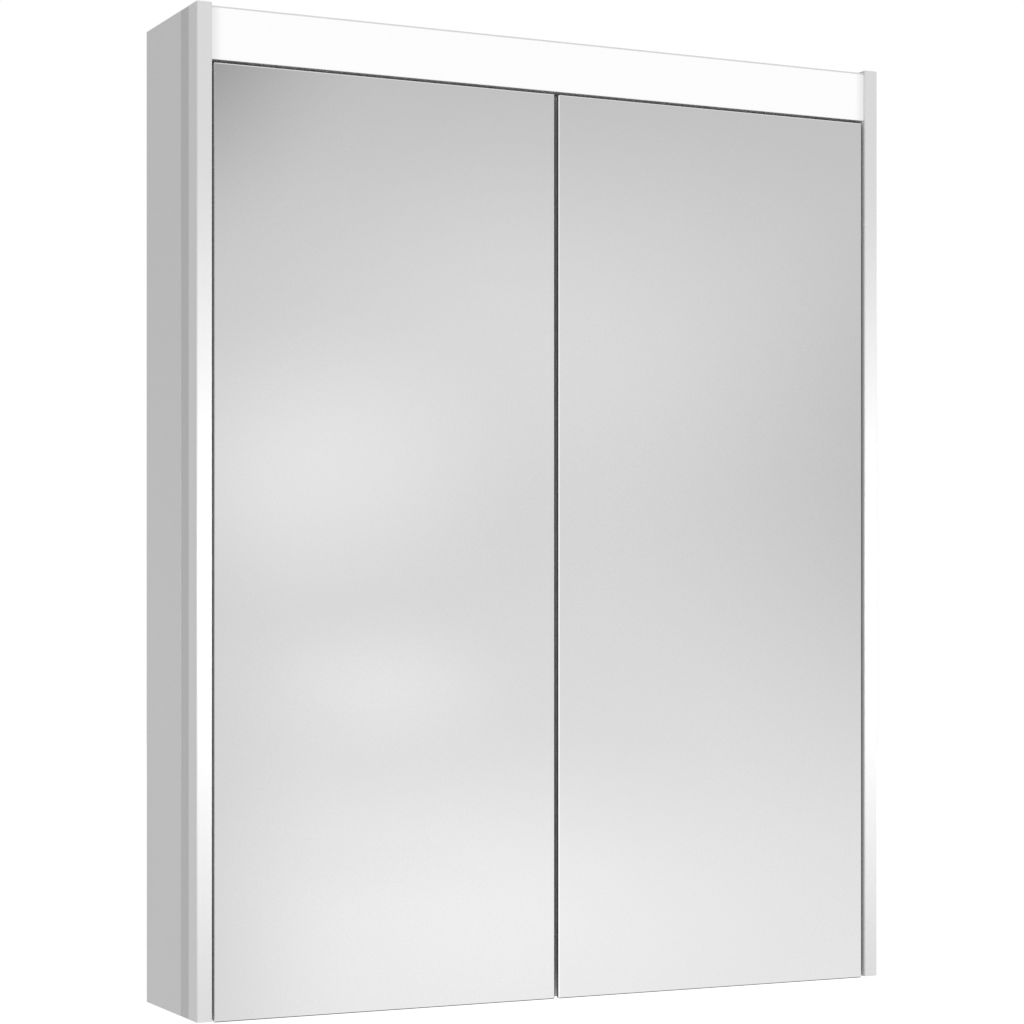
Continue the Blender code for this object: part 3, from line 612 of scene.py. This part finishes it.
def shelf_glass():
    """Clear faces of the shelves."""
    return clear_glass("shelf_glass", chosen().shelves.glass, 0.03)


def shelf_glass_edge():
    """Ground edges of the shelves, green from the length of glass behind them."""
    return clear_glass("shelf_glass_edge", chosen().shelves.edge_glass, 0.12)


def nickel_plate():
    """Nickel plating with fine rolling lines."""
    return surface(
        "nickel_plate", chosen().hinges.colour, 0.25, metallic=1.0, pitch=0.0005, relief=0.000002,
        stretch=(1.0, 0.08, 1.0), fleck=0.03, gloss_change=0.03, wear=0.12,
        wear_colour=(0.76, 0.75, 0.73)
    )


def screw_steel():
    """Zinc-plated screws."""
    return surface(
        "screw_steel", (0.58, 0.58, 0.60), 0.30, metallic=1.0, pitch=0.0006, relief=0.000003,
        fleck=0.06, gloss_change=0.05, wear=0.2, wear_colour=(0.72, 0.72, 0.72)
    )


def contact_brass():
    """Plain brass of the contacts."""
    return surface(
        "contact_brass", (0.72, 0.58, 0.32), 0.28, metallic=1.0, pitch=0.0005, relief=0.000006,
        fleck=0.15, gloss_change=0.08
    )


def soft_rubber():
    """Matt rubber."""
    return surface(
        "soft_rubber", (0.20, 0.20, 0.205), 0.72, pitch=0.0006, relief=0.00005, fleck=0.2,
        gloss_change=0.08, wear=0.3, wear_colour=(0.34, 0.34, 0.34)
    )


def clear_bumper():
    """Milky soft plastic of the door bumpers."""
    return surface(
        "clear_bumper", (0.62, 0.63, 0.64), 0.40, pitch=0.0004, relief=0.00002, fleck=0.08,
        gloss_change=0.08
    )


def moulded_plastic():
    """White moulded plastic of the socket box and of the supply."""
    return surface(
        "moulded_plastic", chosen().socket.colour, 0.36, pitch=0.0005, relief=0.00004, fleck=0.03,
        wear=0.12, wear_colour=(0.86, 0.86, 0.85), dust=0.06
    )


def insert_plastic():
    """Glossier plastic of the socket's recess."""
    return surface(
        "insert_plastic", (0.76, 0.76, 0.755), 0.24, coat=0.2, pitch=0.0008, relief=0.00001,
        fleck=0.02
    )


def rocker_plastic():
    """Light grey plastic of the rocker."""
    return surface(
        "rocker_plastic", (0.60, 0.60, 0.60), 0.30, coat=0.1, pitch=0.0006, relief=0.00002,
        fleck=0.04, wear=0.2, wear_colour=(0.72, 0.72, 0.72)
    )


def circuit_mask():
    """White solder mask of the light's circuit board."""
    return surface(
        "circuit_mask", (0.80, 0.82, 0.80), 0.42, pitch=0.0009, relief=0.00002, fleck=0.04, coat=0.1
    )


def phosphor():
    """Yellow phosphor over each diode."""
    return surface(
        "phosphor", (0.85, 0.72, 0.24), 0.35, pitch=0.0004, relief=0.00002, fleck=0.1, coat=0.2
    )


FLOOR_GLOW = 0.6
FLOOR_FADE_START = 0.5
FLOOR_FADE_END = 9.0


def pale_floor():
    """Plain pale floor that fades into the white backdrop."""
    made = surface(
        "pale_floor", (0.86, 0.86, 0.85), 0.75, pitch=0.02, relief=0.0002, fleck=0.02, drift=0.01
    )
    tree = made.node_tree
    away = add_node(tree, "ShaderNodeVectorMath", {0: object_place(tree)}, operation="LENGTH")
    fade = ranged(tree, away.outputs["Value"], FLOOR_FADE_START, FLOOR_FADE_END)
    values = {"Emission Color": mixed(tree, fade, BLACK, WHITE), "Emission Strength": FLOOR_GLOW}
    feed_all(tree, tree.nodes["Principled BSDF"], values)
    return made


# Shapes


def merged_copy(node):
    """A frame piece's shape with its triangles joined and its flat faces whole."""
    bm = bmesh.new()
    bm.from_mesh(frame["nodes"][node].data)
    bmesh.ops.remove_doubles(bm, verts=bm.verts, dist=WELD)
    bmesh.ops.dissolve_limit(bm, angle_limit=FLAT_ANGLE, verts=bm.verts, edges=bm.edges)
    return bm


def round_edges(bm, radius, segments=3):
    """Round every real edge of a shape."""
    edges = [
        edge for edge in bm.edges
        if len(edge.link_faces) == 2 and edge.calc_face_angle(0.0) > EDGE_ANGLE
        and edge.calc_length() > SHORTEST_EDGE
    ]
    bmesh.ops.bevel(
        bm, geom=edges, offset=radius, offset_type="OFFSET", segments=segments, profile=0.5,
        affect="EDGES", clamp_overlap=True, material=-1
    )


def face_x(node, side):
    """X of a frame piece's side that faces right, or left where side is negative."""
    low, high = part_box(node)
    return high.x if side > 0.0 else low.x


def box_shape(low, high):
    """A box between two corners."""
    bm = bmesh.new()
    made = bmesh.ops.create_cube(bm, size=1.0)
    low = Vector(low)
    high = Vector(high)
    bmesh.ops.scale(bm, vec=high - low, verts=made["verts"])
    bmesh.ops.translate(bm, vec=(low + high) / 2, verts=made["verts"])
    return bm


def turned_shape(profile, facets, place):
    """A profile of (radius, height) points turned round Z; place is a matrix that lays it down."""
    bm = bmesh.new()
    points = [bm.verts.new((radius, 0.0, height)) for radius, height in profile]
    lines = [bm.edges.new(pair) for pair in zip(points, points[1:])]
    bmesh.ops.spin(
        bm, geom=points + lines, cent=(0.0, 0.0, 0.0), axis=(0.0, 0.0, 1.0), angle=2 * math.pi,
        steps=facets, use_merge=True
    )
    bmesh.ops.remove_doubles(bm, verts=bm.verts, dist=WELD)
    bmesh.ops.recalc_face_normals(bm, faces=bm.faces)
    bmesh.ops.transform(bm, matrix=place, verts=bm.verts)
    return bm


def rounded_corner(centre, radius, start, end):
    """Points of a round corner in a profile, from one angle to the other in degrees."""
    points = []
    for step in range(CORNER_STEPS + 1):
        angle = math.radians(start + (end - start) * step / CORNER_STEPS)
        points.append((centre[0] + radius * math.cos(angle), centre[1] + radius * math.sin(angle)))
    return points


def domed_profile(radius, bottom, flank, top):
    """Points of a profile with a flat bottom, a straight flank and a domed top."""
    points = [(0.0, bottom), (radius, bottom), (radius, flank)]
    for step in range(1, DOME_STEPS):
        angle = math.radians(90.0 * step / DOME_STEPS)
        points.append((radius * math.cos(angle), flank + (top - flank) * math.sin(angle)))
    return points + [(0.0, top)]


def new_mesh(name, shape):
    """A mesh of a shape, which is freed."""
    mesh = bpy.data.meshes.new(name)
    shape.to_mesh(mesh)
    shape.free()
    return mesh


def new_object(name, data):
    """An object in the scene."""
    made = bpy.data.objects.new(name, data)
    bpy.context.scene.collection.objects.link(made)
    return made


def add_shape(target, shape):
    """Put a shape into another one and free it."""
    mesh = new_mesh("part", shape)
    target.from_mesh(mesh)
    bpy.data.meshes.remove(mesh)


def cut_shape(shape, tool):
    """Cut a tool out of a shape; both are freed and the result is new."""
    body = new_object("body", new_mesh("body", shape))
    guide = new_object("guide", new_mesh("guide", tool))
    boolean = body.modifiers.new("cut", "BOOLEAN")
    boolean.operation = "DIFFERENCE"
    boolean.solver = "EXACT"
    boolean.object = guide
    graph = bpy.context.evaluated_depsgraph_get()
    result = bmesh.new()
    result.from_object(body, graph)
    for thing in (body, guide):
        mesh = thing.data
        bpy.data.objects.remove(thing)
        bpy.data.meshes.remove(mesh)
    return result


def show_piece(name, shape, finishes, body, stands_for=(), choose=None):
    """Put a finished shape in the scene, on its body; choose picks a face's finish."""
    if choose is not None:
        for face in shape.faces:
            face.material_index = choose(face)
    mesh = new_mesh(name, shape)
    for finish in finishes:
        mesh.materials.append(finish)
    mesh.shade_smooth()
    mesh.set_sharp_from_angle(angle=EDGE_ANGLE)
    piece = new_object(name, mesh)
    normals = piece.modifiers.new("even_normals", "WEIGHTED_NORMAL")
    normals.keep_sharp = True
    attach(piece, body)
    if stands_for:
        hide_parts(*stands_for)
    return piece


def finish_node(node, finishes, radius=0.0, segments=3, choose=None, shape=None):
    """A frame piece, made again with rounded edges and its real finish."""
    if shape is None:
        shape = merged_copy(node)
        round_edges(shape, radius, segments)
    return show_piece("finished_" + node, shape, finishes, BODY_OF[node], (node,), choose)


# Boards


def pin_hole_levels(side_name):
    """Middle of every shelf pin's hole in a side board."""
    boards = chosen().boards
    places = []
    for shelf in SHELVES:
        for row in ROWS:
            low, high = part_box(f"{shelf}_{side_name}_{row}_pin")
            middle = (low + high) / 2
            for step in range(-boards.holes_each_way, boards.holes_each_way + 1):
                places.append(middle + Vector((0.0, 0.0, step * boards.hole_pitch)))
    return places


def side_board_shape(side_name, side):
    """A side board with round holes for the shelf pins."""
    boards = chosen().boards
    board = side_name + "_side_board"
    shape = box_shape(*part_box(board))
    round_edges(shape, boards.edge)
    board_inner = face_x(board, -side)
    pin_end = face_x(f"lower_shelf_{side_name}_front_pin", side)
    depth = abs(pin_end - board_inner) + boards.hole_gap
    radius = pin_shank_radius() + boards.hole_gap
    tool = bmesh.new()
    turn = Matrix.Rotation(math.radians(90.0), 4, "Y")
    for place in pin_hole_levels(side_name):
        middle = Matrix.Translation((board_inner, place.y, place.z))
        bmesh.ops.create_cone(
            tool, cap_ends=True, segments=HOLE_FACETS, radius1=radius, radius2=radius,
            depth=2 * depth, matrix=middle @ turn
        )
    return cut_shape(shape, tool)


def pin_shank_radius():
    """Radius of a shelf pin's shank, which carries the shelf on its upper side."""
    low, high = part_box("lower_shelf_left_front_pin")
    shelf_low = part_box("lower_shelf")[0]
    return shelf_low.z - (low.z + high.z) / 2 - chosen().boards.hole_gap


class CABINET_OT_boards(bpy.types.Operator):
    """Lacquered sides, lid, deck, floor and back"""
    bl_idname = "cabinet.make_boards"
    bl_label = "Boards"

    def execute(self, context):
        edge = chosen().boards.edge
        for side_name, side in SIDES.items():
            shape = side_board_shape(side_name, side)
            finish_node(side_name + "_side_board", [white_lacquer()], shape=shape)
        for node in ("lid_board", "light_deck", "floor_board"):
            finish_node(node, [white_foil()], 2 * edge)
        finish_node(
            "back_board", [white_foil(), raw_hardboard()], edge, 2,
            choose=lambda face: 1 if face.normal.y > SQUARE_ON else 0
        )
        return {"FINISHED"}


# Posts

BAND_SUNK_AT_LEAST = 0.0001
BAND_SUNK_AT_MOST = 0.001


def band_face(outer, side):
    """Picks the coat or the darker band grey for a post's face; outer is the X of the post's outer side.
    """
    def choose(face):
        sunk = abs(face.calc_center_median().x - outer)
        outward = face.normal.x * side > SQUARE_ON
        return 1 if outward and BAND_SUNK_AT_LEAST < sunk < BAND_SUNK_AT_MOST else 0
    return choose


class CABINET_OT_posts(bpy.types.Operator):
    """Powder-coated corner posts with their plugs"""
    bl_idname = "cabinet.make_posts"
    bl_label = "Corner posts"

    def execute(self, context):
        edge = chosen().posts.edge
        for side_name, side in SIDES.items():
            node = side_name + "_post"
            choose = band_face(face_x(node, side), side)
            finish_node(node, [powder_coat(), darker_band()], edge, 2, choose=choose)
            for end in ("top", "bottom"):
                finish_node(f"{side_name}_{end}_cap", [cap_plastic()], 2 * edge)
        return {"FINISHED"}


# Light

CHIP_AREA_AT_MOST = 0.00003
CHIP_OFF_FRONT_AT_MOST = 0.0003
TERMINAL_POLES = 3
TERMINAL_HEAD = 0.35


def on_chip(face):
    """Phosphor on the front of each diode."""
    off_front = abs(face.calc_center_median().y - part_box("led_board")[0].y)
    return 1 if face.calc_area() < CHIP_AREA_AT_MOST and off_front < CHIP_OFF_FRONT_AT_MOST else 0


def terminal_screws():
    """Slotted screws on top of the terminal block."""
    low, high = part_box("terminal_block")
    pitch = (high.x - low.x) / TERMINAL_POLES
    radius = chosen().light.screw_radius
    group = bmesh.new()
    for pole in range(TERMINAL_POLES):
        place = Vector((low.x + pitch * (pole + 0.5), (low.y + high.y) / 2, high.z))
        head = screw_head(radius, radius * TERMINAL_HEAD, Matrix.Translation(place), slots=1)
        add_shape(group, head)
    show_piece("terminal_screws", group, [contact_brass()], "cabinet")


class CABINET_OT_light(bpy.types.Operator):
    """Light strip: housing, opal cover, diodes and supply"""
    bl_idname = "cabinet.make_light"
    bl_label = "Light strip"

    def execute(self, context):
        edge = chosen().light.edge
        finish_node("light_housing", [housing_coat()], edge * 0.6)
        finish_node("light_diffuser", [opal_acrylic()], edge)
        finish_node("led_board", [circuit_mask(), phosphor()], edge * 0.4, 1, choose=on_chip)
        finish_node("led_driver", [moulded_plastic()], edge * 2)
        finish_node("terminal_block", [moulded_plastic()], edge)
        finish_node("cable_grommet", [soft_rubber()], edge, 2)
        terminal_screws()
        return {"FINISHED"}


# Doors

SILVER_FROM = 0.3


def mirror_face(outward):
    """Picks silver, backing or polished edge; outward is the side that the mirror faces."""
    def choose(face):
        facing = face.normal.y * outward
        if facing > SILVER_FROM:
            return 0
        return 2 if facing < -SQUARE_ON else 1
    return choose


class CABINET_OT_doors(bpy.types.Operator):
    """Mirror doors: front mirror, core and rear mirror"""
    bl_idname = "cabinet.make_doors"
    bl_label = "Mirror doors"

    def execute(self, context):
        edge = chosen().mirrors.edge
        finishes = [silvered_glass(), glass_edge(), mirror_backing()]
        for side_name in SIDES:
            finish_node(side_name + "_front_mirror", finishes, edge, 2, choose=mirror_face(-1.0))
            finish_node(side_name + "_rear_mirror", finishes, edge, 2, choose=mirror_face(1.0))
            finish_node(side_name + "_door_core", [white_foil()], 2 * edge, 2)
        return {"FINISHED"}


# Hinges, hangers and screws

HEAD_SUNK = 0.0003
# Shares of a head's radius
SLOT_WIDTH = 0.24
CROSS_LENGTH = 1.15
SLOT_LENGTH = 2.2
# Shares of a head's height
HEAD_FLANK = 0.35
SLOT_FLOOR = 0.3
SLOT_TOP = 1.5

# Turn in degrees of the four screws of a hinge, two in its plate and two in its arm
SCREW_TURNS = (25.0, 65.0, 80.0, 115.0)
ARM_SCREW_SHARES = (0.25, 0.75)
ARM_THICKNESS = 0.0025
ARM_GAP = 0.0003


def screw_head(radius, height, place, slots=2):
    """A low domed head with a cross, or one slot, sunk into it; it stands on Z = 0 before place."""
    profile = domed_profile(radius, -HEAD_SUNK, height * HEAD_FLANK, height)
    head = turned_shape(profile, HEAD_FACETS, Matrix.Identity(4))
    width = radius * SLOT_WIDTH
    length = radius * (CROSS_LENGTH if slots == 2 else SLOT_LENGTH)
    for reach in (Vector((length, width)) / 2, Vector((width, length)) / 2)[:slots]:
        low = (-reach.x, -reach.y, height * SLOT_FLOOR)
        head = cut_shape(head, box_shape(low, (reach.x, reach.y, height * SLOT_TOP)))
    bmesh.ops.transform(head, matrix=place, verts=head.verts)
    return head


def outward_place(point, direction, spin=0.0):
    """A matrix that stands +Z along a direction at a point, turned round it by spin."""
    turn = Vector(direction).to_track_quat("Z", "Y").to_matrix().to_4x4()
    return Matrix.Translation(point) @ turn @ Matrix.Rotation(spin, 4, "Z")


def hinge_screws(hinge, side):
    """Two screws that hold a hinge plate, and two on its arm."""
    hinges = chosen().hinges
    plate_low, plate_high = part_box(hinge + "plate")
    arm_low, arm_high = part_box(hinge + "arm")
    plate_face = face_x(hinge + "plate", -side)
    middle_y = (plate_low.y + plate_high.y) / 2
    points = [
        (plate_face, middle_y, (low_z + high_z) / 2)
        for low_z, high_z in ((plate_low.z, arm_low.z), (arm_high.z, plate_high.z))
    ]
    arm_face = plate_face - side * (ARM_THICKNESS + 2 * ARM_GAP)
    for share in ARM_SCREW_SHARES:
        y = plate_low.y + share * (plate_high.y - plate_low.y)
        points.append((arm_face, y, (arm_low.z + arm_high.z) / 2))
    group = bmesh.new()
    for point, turn in zip(points, SCREW_TURNS):
        place = outward_place(Vector(point), (-side, 0.0, 0.0), math.radians(turn))
        add_shape(group, screw_head(hinges.screw_radius, hinges.screw_height, place))
    show_piece(hinge + "screws", group, [screw_steel()], "cabinet")


class CABINET_OT_hinges(bpy.types.Operator):
    """Cup hinges with their arms, plates and screws"""
    bl_idname = "cabinet.make_hinges"
    bl_label = "Hinges"

    def execute(self, context):
        edge = chosen().hinges.edge
        for side_name, side in SIDES.items():
            for end in ENDS:
                hinge = f"{side_name}_{end}_hinge_"
                finish_node(hinge + "cup", [nickel_plate()], edge, 2)
                finish_node(hinge + "pin", [screw_steel()], edge * 0.5, 2)
                finish_node(hinge + "arm", [nickel_plate()], edge, 2)
                finish_node(hinge + "plate", [nickel_plate()], edge, 2)
                hinge_screws(hinge, side)
        return {"FINISHED"}


class CABINET_OT_hangers(bpy.types.Operator):
    """Wall hangers in the upper corners"""
    bl_idname = "cabinet.make_hangers"
    bl_label = "Wall hangers"

    def execute(self, context):
        for side_name in SIDES:
            finish_node(side_name + "_hanger", [nickel_plate()], chosen().hinges.edge, 2)
        return {"FINISHED"}


# Shelves and bumpers

COLLAR_THICKNESS = 0.0012
PIN_NOSE = 0.0008
PIN_SOFTENING = 0.0003
BUMPER_FLANK = 0.25


def pin_shape(node, side_name, side):
    """A shelf pin with a round nose and a collar."""
    low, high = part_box(node)
    middle = (low + high) / 2
    collar = (high.z - low.z) / 2
    shank = pin_shank_radius()
    board_face = face_x(side_name + "_side_board", -side)
    reach = abs(face_x(node, -side) - board_face)
    sunk = abs(face_x(node, side) - board_face)
    seat = chosen().boards.hole_gap
    top = seat + COLLAR_THICKNESS
    soft = PIN_SOFTENING
    profile = [(0.0, -sunk), (shank - soft, -sunk), (shank, -sunk + soft), (shank, seat)]
    profile += rounded_corner((collar - soft, seat + soft), soft, -90.0, 0.0)
    profile += rounded_corner((collar - soft, top - soft), soft, 0.0, 90.0)
    profile += [(shank, top)]
    profile += rounded_corner((shank - PIN_NOSE, reach - PIN_NOSE), PIN_NOSE, 0.0, 90.0)
    profile += [(0.0, reach)]
    place = outward_place(Vector((board_face, middle.y, middle.z)), (-side, 0.0, 0.0))
    return turned_shape(profile, PIN_FACETS, place)


class CABINET_OT_shelves(bpy.types.Operator):
    """Glass shelves on their pins"""
    bl_idname = "cabinet.make_shelves"
    bl_label = "Shelves"

    def execute(self, context):
        for shelf in SHELVES:
            shape = box_shape(*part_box(shelf))
            round_edges(shape, chosen().shelves.edge, 4)
            finish_node(
                shelf, [shelf_glass(), shelf_glass_edge()], shape=shape,
                choose=lambda face: 0 if abs(face.normal.z) > SQUARE_ON else 1
            )
            for side_name, side in SIDES.items():
                for row in ROWS:
                    node = f"{shelf}_{side_name}_{row}_pin"
                    finish_node(node, [nickel_plate()], shape=pin_shape(node, side_name, side))
        return {"FINISHED"}


class CABINET_OT_bumpers(bpy.types.Operator):
    """Soft stops of the doors"""
    bl_idname = "cabinet.make_bumpers"
    bl_label = "Door bumpers"

    def execute(self, context):
        for side_name in SIDES:
            for end in ENDS:
                node = f"{side_name}_{end}_bumper"
                low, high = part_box(node)
                radius = (high.z - low.z) / 2
                thick = high.y - low.y
                profile = domed_profile(radius, 0.0, thick * BUMPER_FLANK, thick)
                point = Vector(((low.x + high.x) / 2, high.y, (low.z + high.z) / 2))
                place = outward_place(point, (0.0, -1.0, 0.0))
                shape = turned_shape(profile, BUMPER_FACETS, place)
                finish_node(node, [clear_bumper()], shape=shape)
        return {"FINISHED"}


# Socket and switch

RECESS_WALL = 0.0018
CLIP_SET_BACK = 0.0018
# Corners of an earth clip's outer side: way in from its front, room to the recess's wall
CLIP_LINE = ((0.0, 0.0002), (0.002, 0.0002), (0.0065, 0.0022), (0.0125, 0.0004))
CLIP_THICKNESS = 0.0006
CLIP_EDGE = 0.00015


def earth_clips():
    """Brass earth clips at the top and the bottom of the socket's recess."""
    low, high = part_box("socket_insert")
    middle = (low + high) / 2
    width = chosen().socket.clip_width
    bore = (high.z - low.z) / 2 - RECESS_WALL
    front = low.y + CLIP_SET_BACK
    outer = [(front + way_in, bore - room) for way_in, room in CLIP_LINE]
    inner = [(y, z - CLIP_THICKNESS) for y, z in reversed(outer)]
    group = bmesh.new()
    for side in (-1.0, 1.0):
        strip = bmesh.new()
        corners = [strip.verts.new((-width / 2, y, z)) for y, z in outer + inner]
        face = strip.faces.new(corners)
        raised = bmesh.ops.extrude_face_region(strip, geom=[face])["geom"]
        moved = [item for item in raised if isinstance(item, bmesh.types.BMVert)]
        bmesh.ops.translate(strip, vec=(width, 0.0, 0.0), verts=moved)
        bmesh.ops.scale(strip, vec=(1.0, 1.0, side), verts=strip.verts)
        bmesh.ops.translate(strip, vec=(middle.x, 0.0, middle.z), verts=strip.verts)
        bmesh.ops.recalc_face_normals(strip, faces=strip.faces)
        round_edges(strip, CLIP_EDGE, 2)
        add_shape(group, strip)
    show_piece("socket_earth_clips", group, [contact_brass()], "cabinet")


class CABINET_OT_socket(bpy.types.Operator):
    """Socket, rocker and their box"""
    bl_idname = "cabinet.make_socket"
    bl_label = "Socket and switch"

    def execute(self, context):
        edge = chosen().socket.edge
        finish_node("socket_box", [moulded_plastic()], edge, 2)
        finish_node("socket_insert", [insert_plastic()], edge, 2)
        finish_node("rocker_switch", [rocker_plastic()], edge, 3)
        earth_clips()
        return {"FINISHED"}


# Stage

# Soft patches of light and shade round the room, as the mirrors pick them up:
# bearing from the front towards the right, height, half width, half height (degrees), strength
ROOM_PATCHES = {
    "shade_upper_left": (16.5, 16.0, 7.5, 9.5, -0.60),
    "light_upper": (26.0, 6.5, 8.5, 5.5, 0.11),
    "shade_right": (45.5, 2.0, 18.5, 10.0, -0.44),
    "light_left": (21.5, 3.2, 5.0, 3.7, 0.14),
    "light_low_left": (23.0, -1.5, 3.5, 2.0, 0.08),
    "light_lower": (25.5, -6.0, 8.5, 4.0, 0.10),
    "shade_lower_left": (17.5, -11.0, 5.0, 18.0, -0.19),
    "light_beside": (-65.0, 0.0, 28.0, 50.0, 0.45),
    "light_behind": (115.0, 0.0, 28.0, 50.0, 0.25),
}
ROOM_LEVEL = 0.77
ROOM_SLOPE = -0.015
ROOM_SLOPE_END = 12.0
GROUND_START = -32.0
GROUND_END = -50.0
GROUND_LEVEL = 0.12

SOFTBOX_WIDTH = 1.4
SOFTBOX_HEIGHT = 0.10
SOFTBOX_SPREAD = math.radians(26.0)
SOFTBOX_DISTANCE = 1.5
SOFTBOX_DROP = 0.057
FLOOR_RADIUS = 30.0
FLOOR_FACETS = 96
FLOOR_MIDDLE_Y = -0.5


def reflected_room(tree, direction):
    """Brightness of the room in a direction, as polished surfaces show it."""
    height = worked(tree, "DEGREES", worked(tree, "ARCSINE", direction["Z"]))
    ahead = worked(tree, "MULTIPLY", direction["Y"], -1.0)
    bearing = worked(tree, "DEGREES", worked(tree, "ARCTAN2", direction["X"], ahead))
    gentle = worked(
        tree, "MAXIMUM", worked(tree, "MINIMUM", height, ROOM_SLOPE_END), -ROOM_SLOPE_END
    )
    level = worked(tree, "MULTIPLY_ADD", gentle, ROOM_SLOPE, ROOM_LEVEL)
    for across, up, half_width, half_height, strength in ROOM_PATCHES.values():
        x = worked(tree, "DIVIDE", worked(tree, "SUBTRACT", bearing, across), half_width)
        y = worked(tree, "DIVIDE", worked(tree, "SUBTRACT", height, up), half_height)
        squares = worked(tree, "ADD", worked(tree, "MULTIPLY", x, x), worked(tree, "MULTIPLY", y, y))
        apart = worked(tree, "SQRT", squares)
        level = worked(tree, "ADD", level, ranged(tree, apart, 0.0, 1.0, strength, 0.0))
    ground = ranged(tree, height, GROUND_END, GROUND_START, GROUND_LEVEL, 1.0)
    return worked(tree, "MULTIPLY", level, ground)


def make_world(stage):
    """White backdrop, even room light, and the room that polished surfaces show."""
    world = bpy.data.worlds.new("room")
    bpy.context.scene.world = world
    world.use_nodes = True
    tree = world.node_tree
    around = tree.nodes.new("ShaderNodeTexCoord").outputs["Generated"]
    direction = add_node(tree, "ShaderNodeSeparateXYZ", {"Vector": around}).outputs
    path = tree.nodes.new("ShaderNodeLightPath").outputs
    seen = worked(tree, "MAXIMUM", path["Is Camera Ray"], path["Is Transmission Ray"])
    glossy = path["Is Glossy Ray"]
    room = worked(tree, "MULTIPLY", glossy, reflected_room(tree, direction))
    behind = worked(tree, "MAXIMUM", direction["Y"], 0.0)
    in_front = worked(tree, "MAXIMUM", worked(tree, "MULTIPLY", direction["Y"], -1.0), 0.0)
    even = stage.room_light
    towards = worked(tree, "MULTIPLY_ADD", behind, stage.rear_share * even, even)
    towards = worked(tree, "MULTIPLY_ADD", in_front, stage.front_share * even, towards)
    plain = worked(tree, "MULTIPLY", worked(tree, "SUBTRACT", 1.0, glossy), towards)
    unseen = worked(tree, "ADD", room, plain)
    hidden = worked(tree, "MULTIPLY", unseen, worked(tree, "SUBTRACT", 1.0, seen))
    strength = worked(tree, "MAXIMUM", seen, hidden)
    feed_all(tree, tree.nodes["Background"], {"Color": WHITE, "Strength": strength})


def make_front_light(stage):
    """Wide, low soft light in front of the doors."""
    low, high = FRAME_BOX
    lamp = bpy.data.lights.new("front_softbox", "AREA")
    lamp.shape = "RECTANGLE"
    lamp.size = SOFTBOX_WIDTH
    lamp.size_y = SOFTBOX_HEIGHT
    lamp.spread = SOFTBOX_SPREAD
    lamp.energy = stage.front_light
    softbox = new_object("front_softbox", lamp)
    softbox.location = (0.0, low.y - SOFTBOX_DISTANCE, (low.z + high.z) / 2 - SOFTBOX_DROP)
    softbox.rotation_euler = (math.radians(90.0), 0.0, 0.0)
    softbox.visible_camera = False
    softbox.visible_glossy = False


def make_floor(stage):
    """Round pale floor far under the cabinet; the light on the cabinet doesn't depend on it."""
    bm = bmesh.new()
    bmesh.ops.create_circle(bm, cap_ends=True, segments=FLOOR_FACETS, radius=FLOOR_RADIUS)
    mesh = new_mesh("floor", bm)
    mesh.materials.append(pale_floor())
    floor = new_object("floor", mesh)
    floor.location = (0.0, FLOOR_MIDDLE_Y, stage.floor_level)
    floor.visible_glossy = False
    floor.visible_diffuse = False
    floor.visible_shadow = False


def make_camera(stage):
    """Level camera to the left of the cabinet."""
    lens = bpy.data.cameras.new("camera")
    lens.lens = stage.focal
    lens.shift_y = stage.rise
    camera = new_object("camera", lens)
    camera.location = stage.place
    camera.rotation_euler = (math.radians(90.0), 0.0, -stage.turn)
    bpy.context.scene.camera = camera


class CABINET_OT_stage(bpy.types.Operator):
    """Floor, soft light, white backdrop and camera"""
    bl_idname = "cabinet.make_stage"
    bl_label = "Stage"

    def execute(self, context):
        stage = chosen().stage
        context.scene.view_settings.view_transform = "Standard"
        make_world(stage)
        make_front_light(stage)
        make_floor(stage)
        make_camera(stage)
        return {"FINISHED"}


STEPS = (
    "make_boards", "make_posts", "make_light", "make_doors", "make_hinges", "make_hangers",
    "make_shelves", "make_bumpers", "make_socket", "make_stage",
)


class CABINET_PT_finish(bpy.types.Panel):
    """Lists every step of the cabinet's finish"""
    bl_idname = "CABINET_PT_finish"
    bl_label = "Mirror Cabinet"
    bl_space_type = "VIEW_3D"
    bl_region_type = "UI"
    bl_category = "Mirror Cabinet"

    def draw(self, context):
        for step in STEPS:
            self.layout.operator("cabinet." + step)
        for group in CabinetSettings.__annotations__:
            box = self.layout.box()
            settings = getattr(context.scene.mirror_cabinet, group)
            for name in settings.__annotations__:
                box.prop(settings, name)


CLASSES = (
    BoardSettings, PostSettings, LightSettings, MirrorSettings, HingeSettings, ShelfSettings,
    SocketSettings, StageSettings, CabinetSettings, CABINET_OT_boards, CABINET_OT_posts,
    CABINET_OT_light, CABINET_OT_doors, CABINET_OT_hinges, CABINET_OT_hangers, CABINET_OT_shelves,
    CABINET_OT_bumpers, CABINET_OT_socket, CABINET_OT_stage, CABINET_PT_finish,
)


def register():
    """Make the classes and the scene's settings known."""
    for made in CLASSES:
        bpy.utils.register_class(made)
    bpy.types.Scene.mirror_cabinet = PointerProperty(type=CabinetSettings)


def unregister():
    """Take the settings and the classes away again."""
    del bpy.types.Scene.mirror_cabinet
    for made in reversed(CLASSES):
        bpy.utils.unregister_class(made)


def main():
    """Build every piece round the frame, then the stage."""
    register()
    for step in STEPS:
        getattr(bpy.ops.cabinet, step)()


if __name__ == "__main__":
    main()
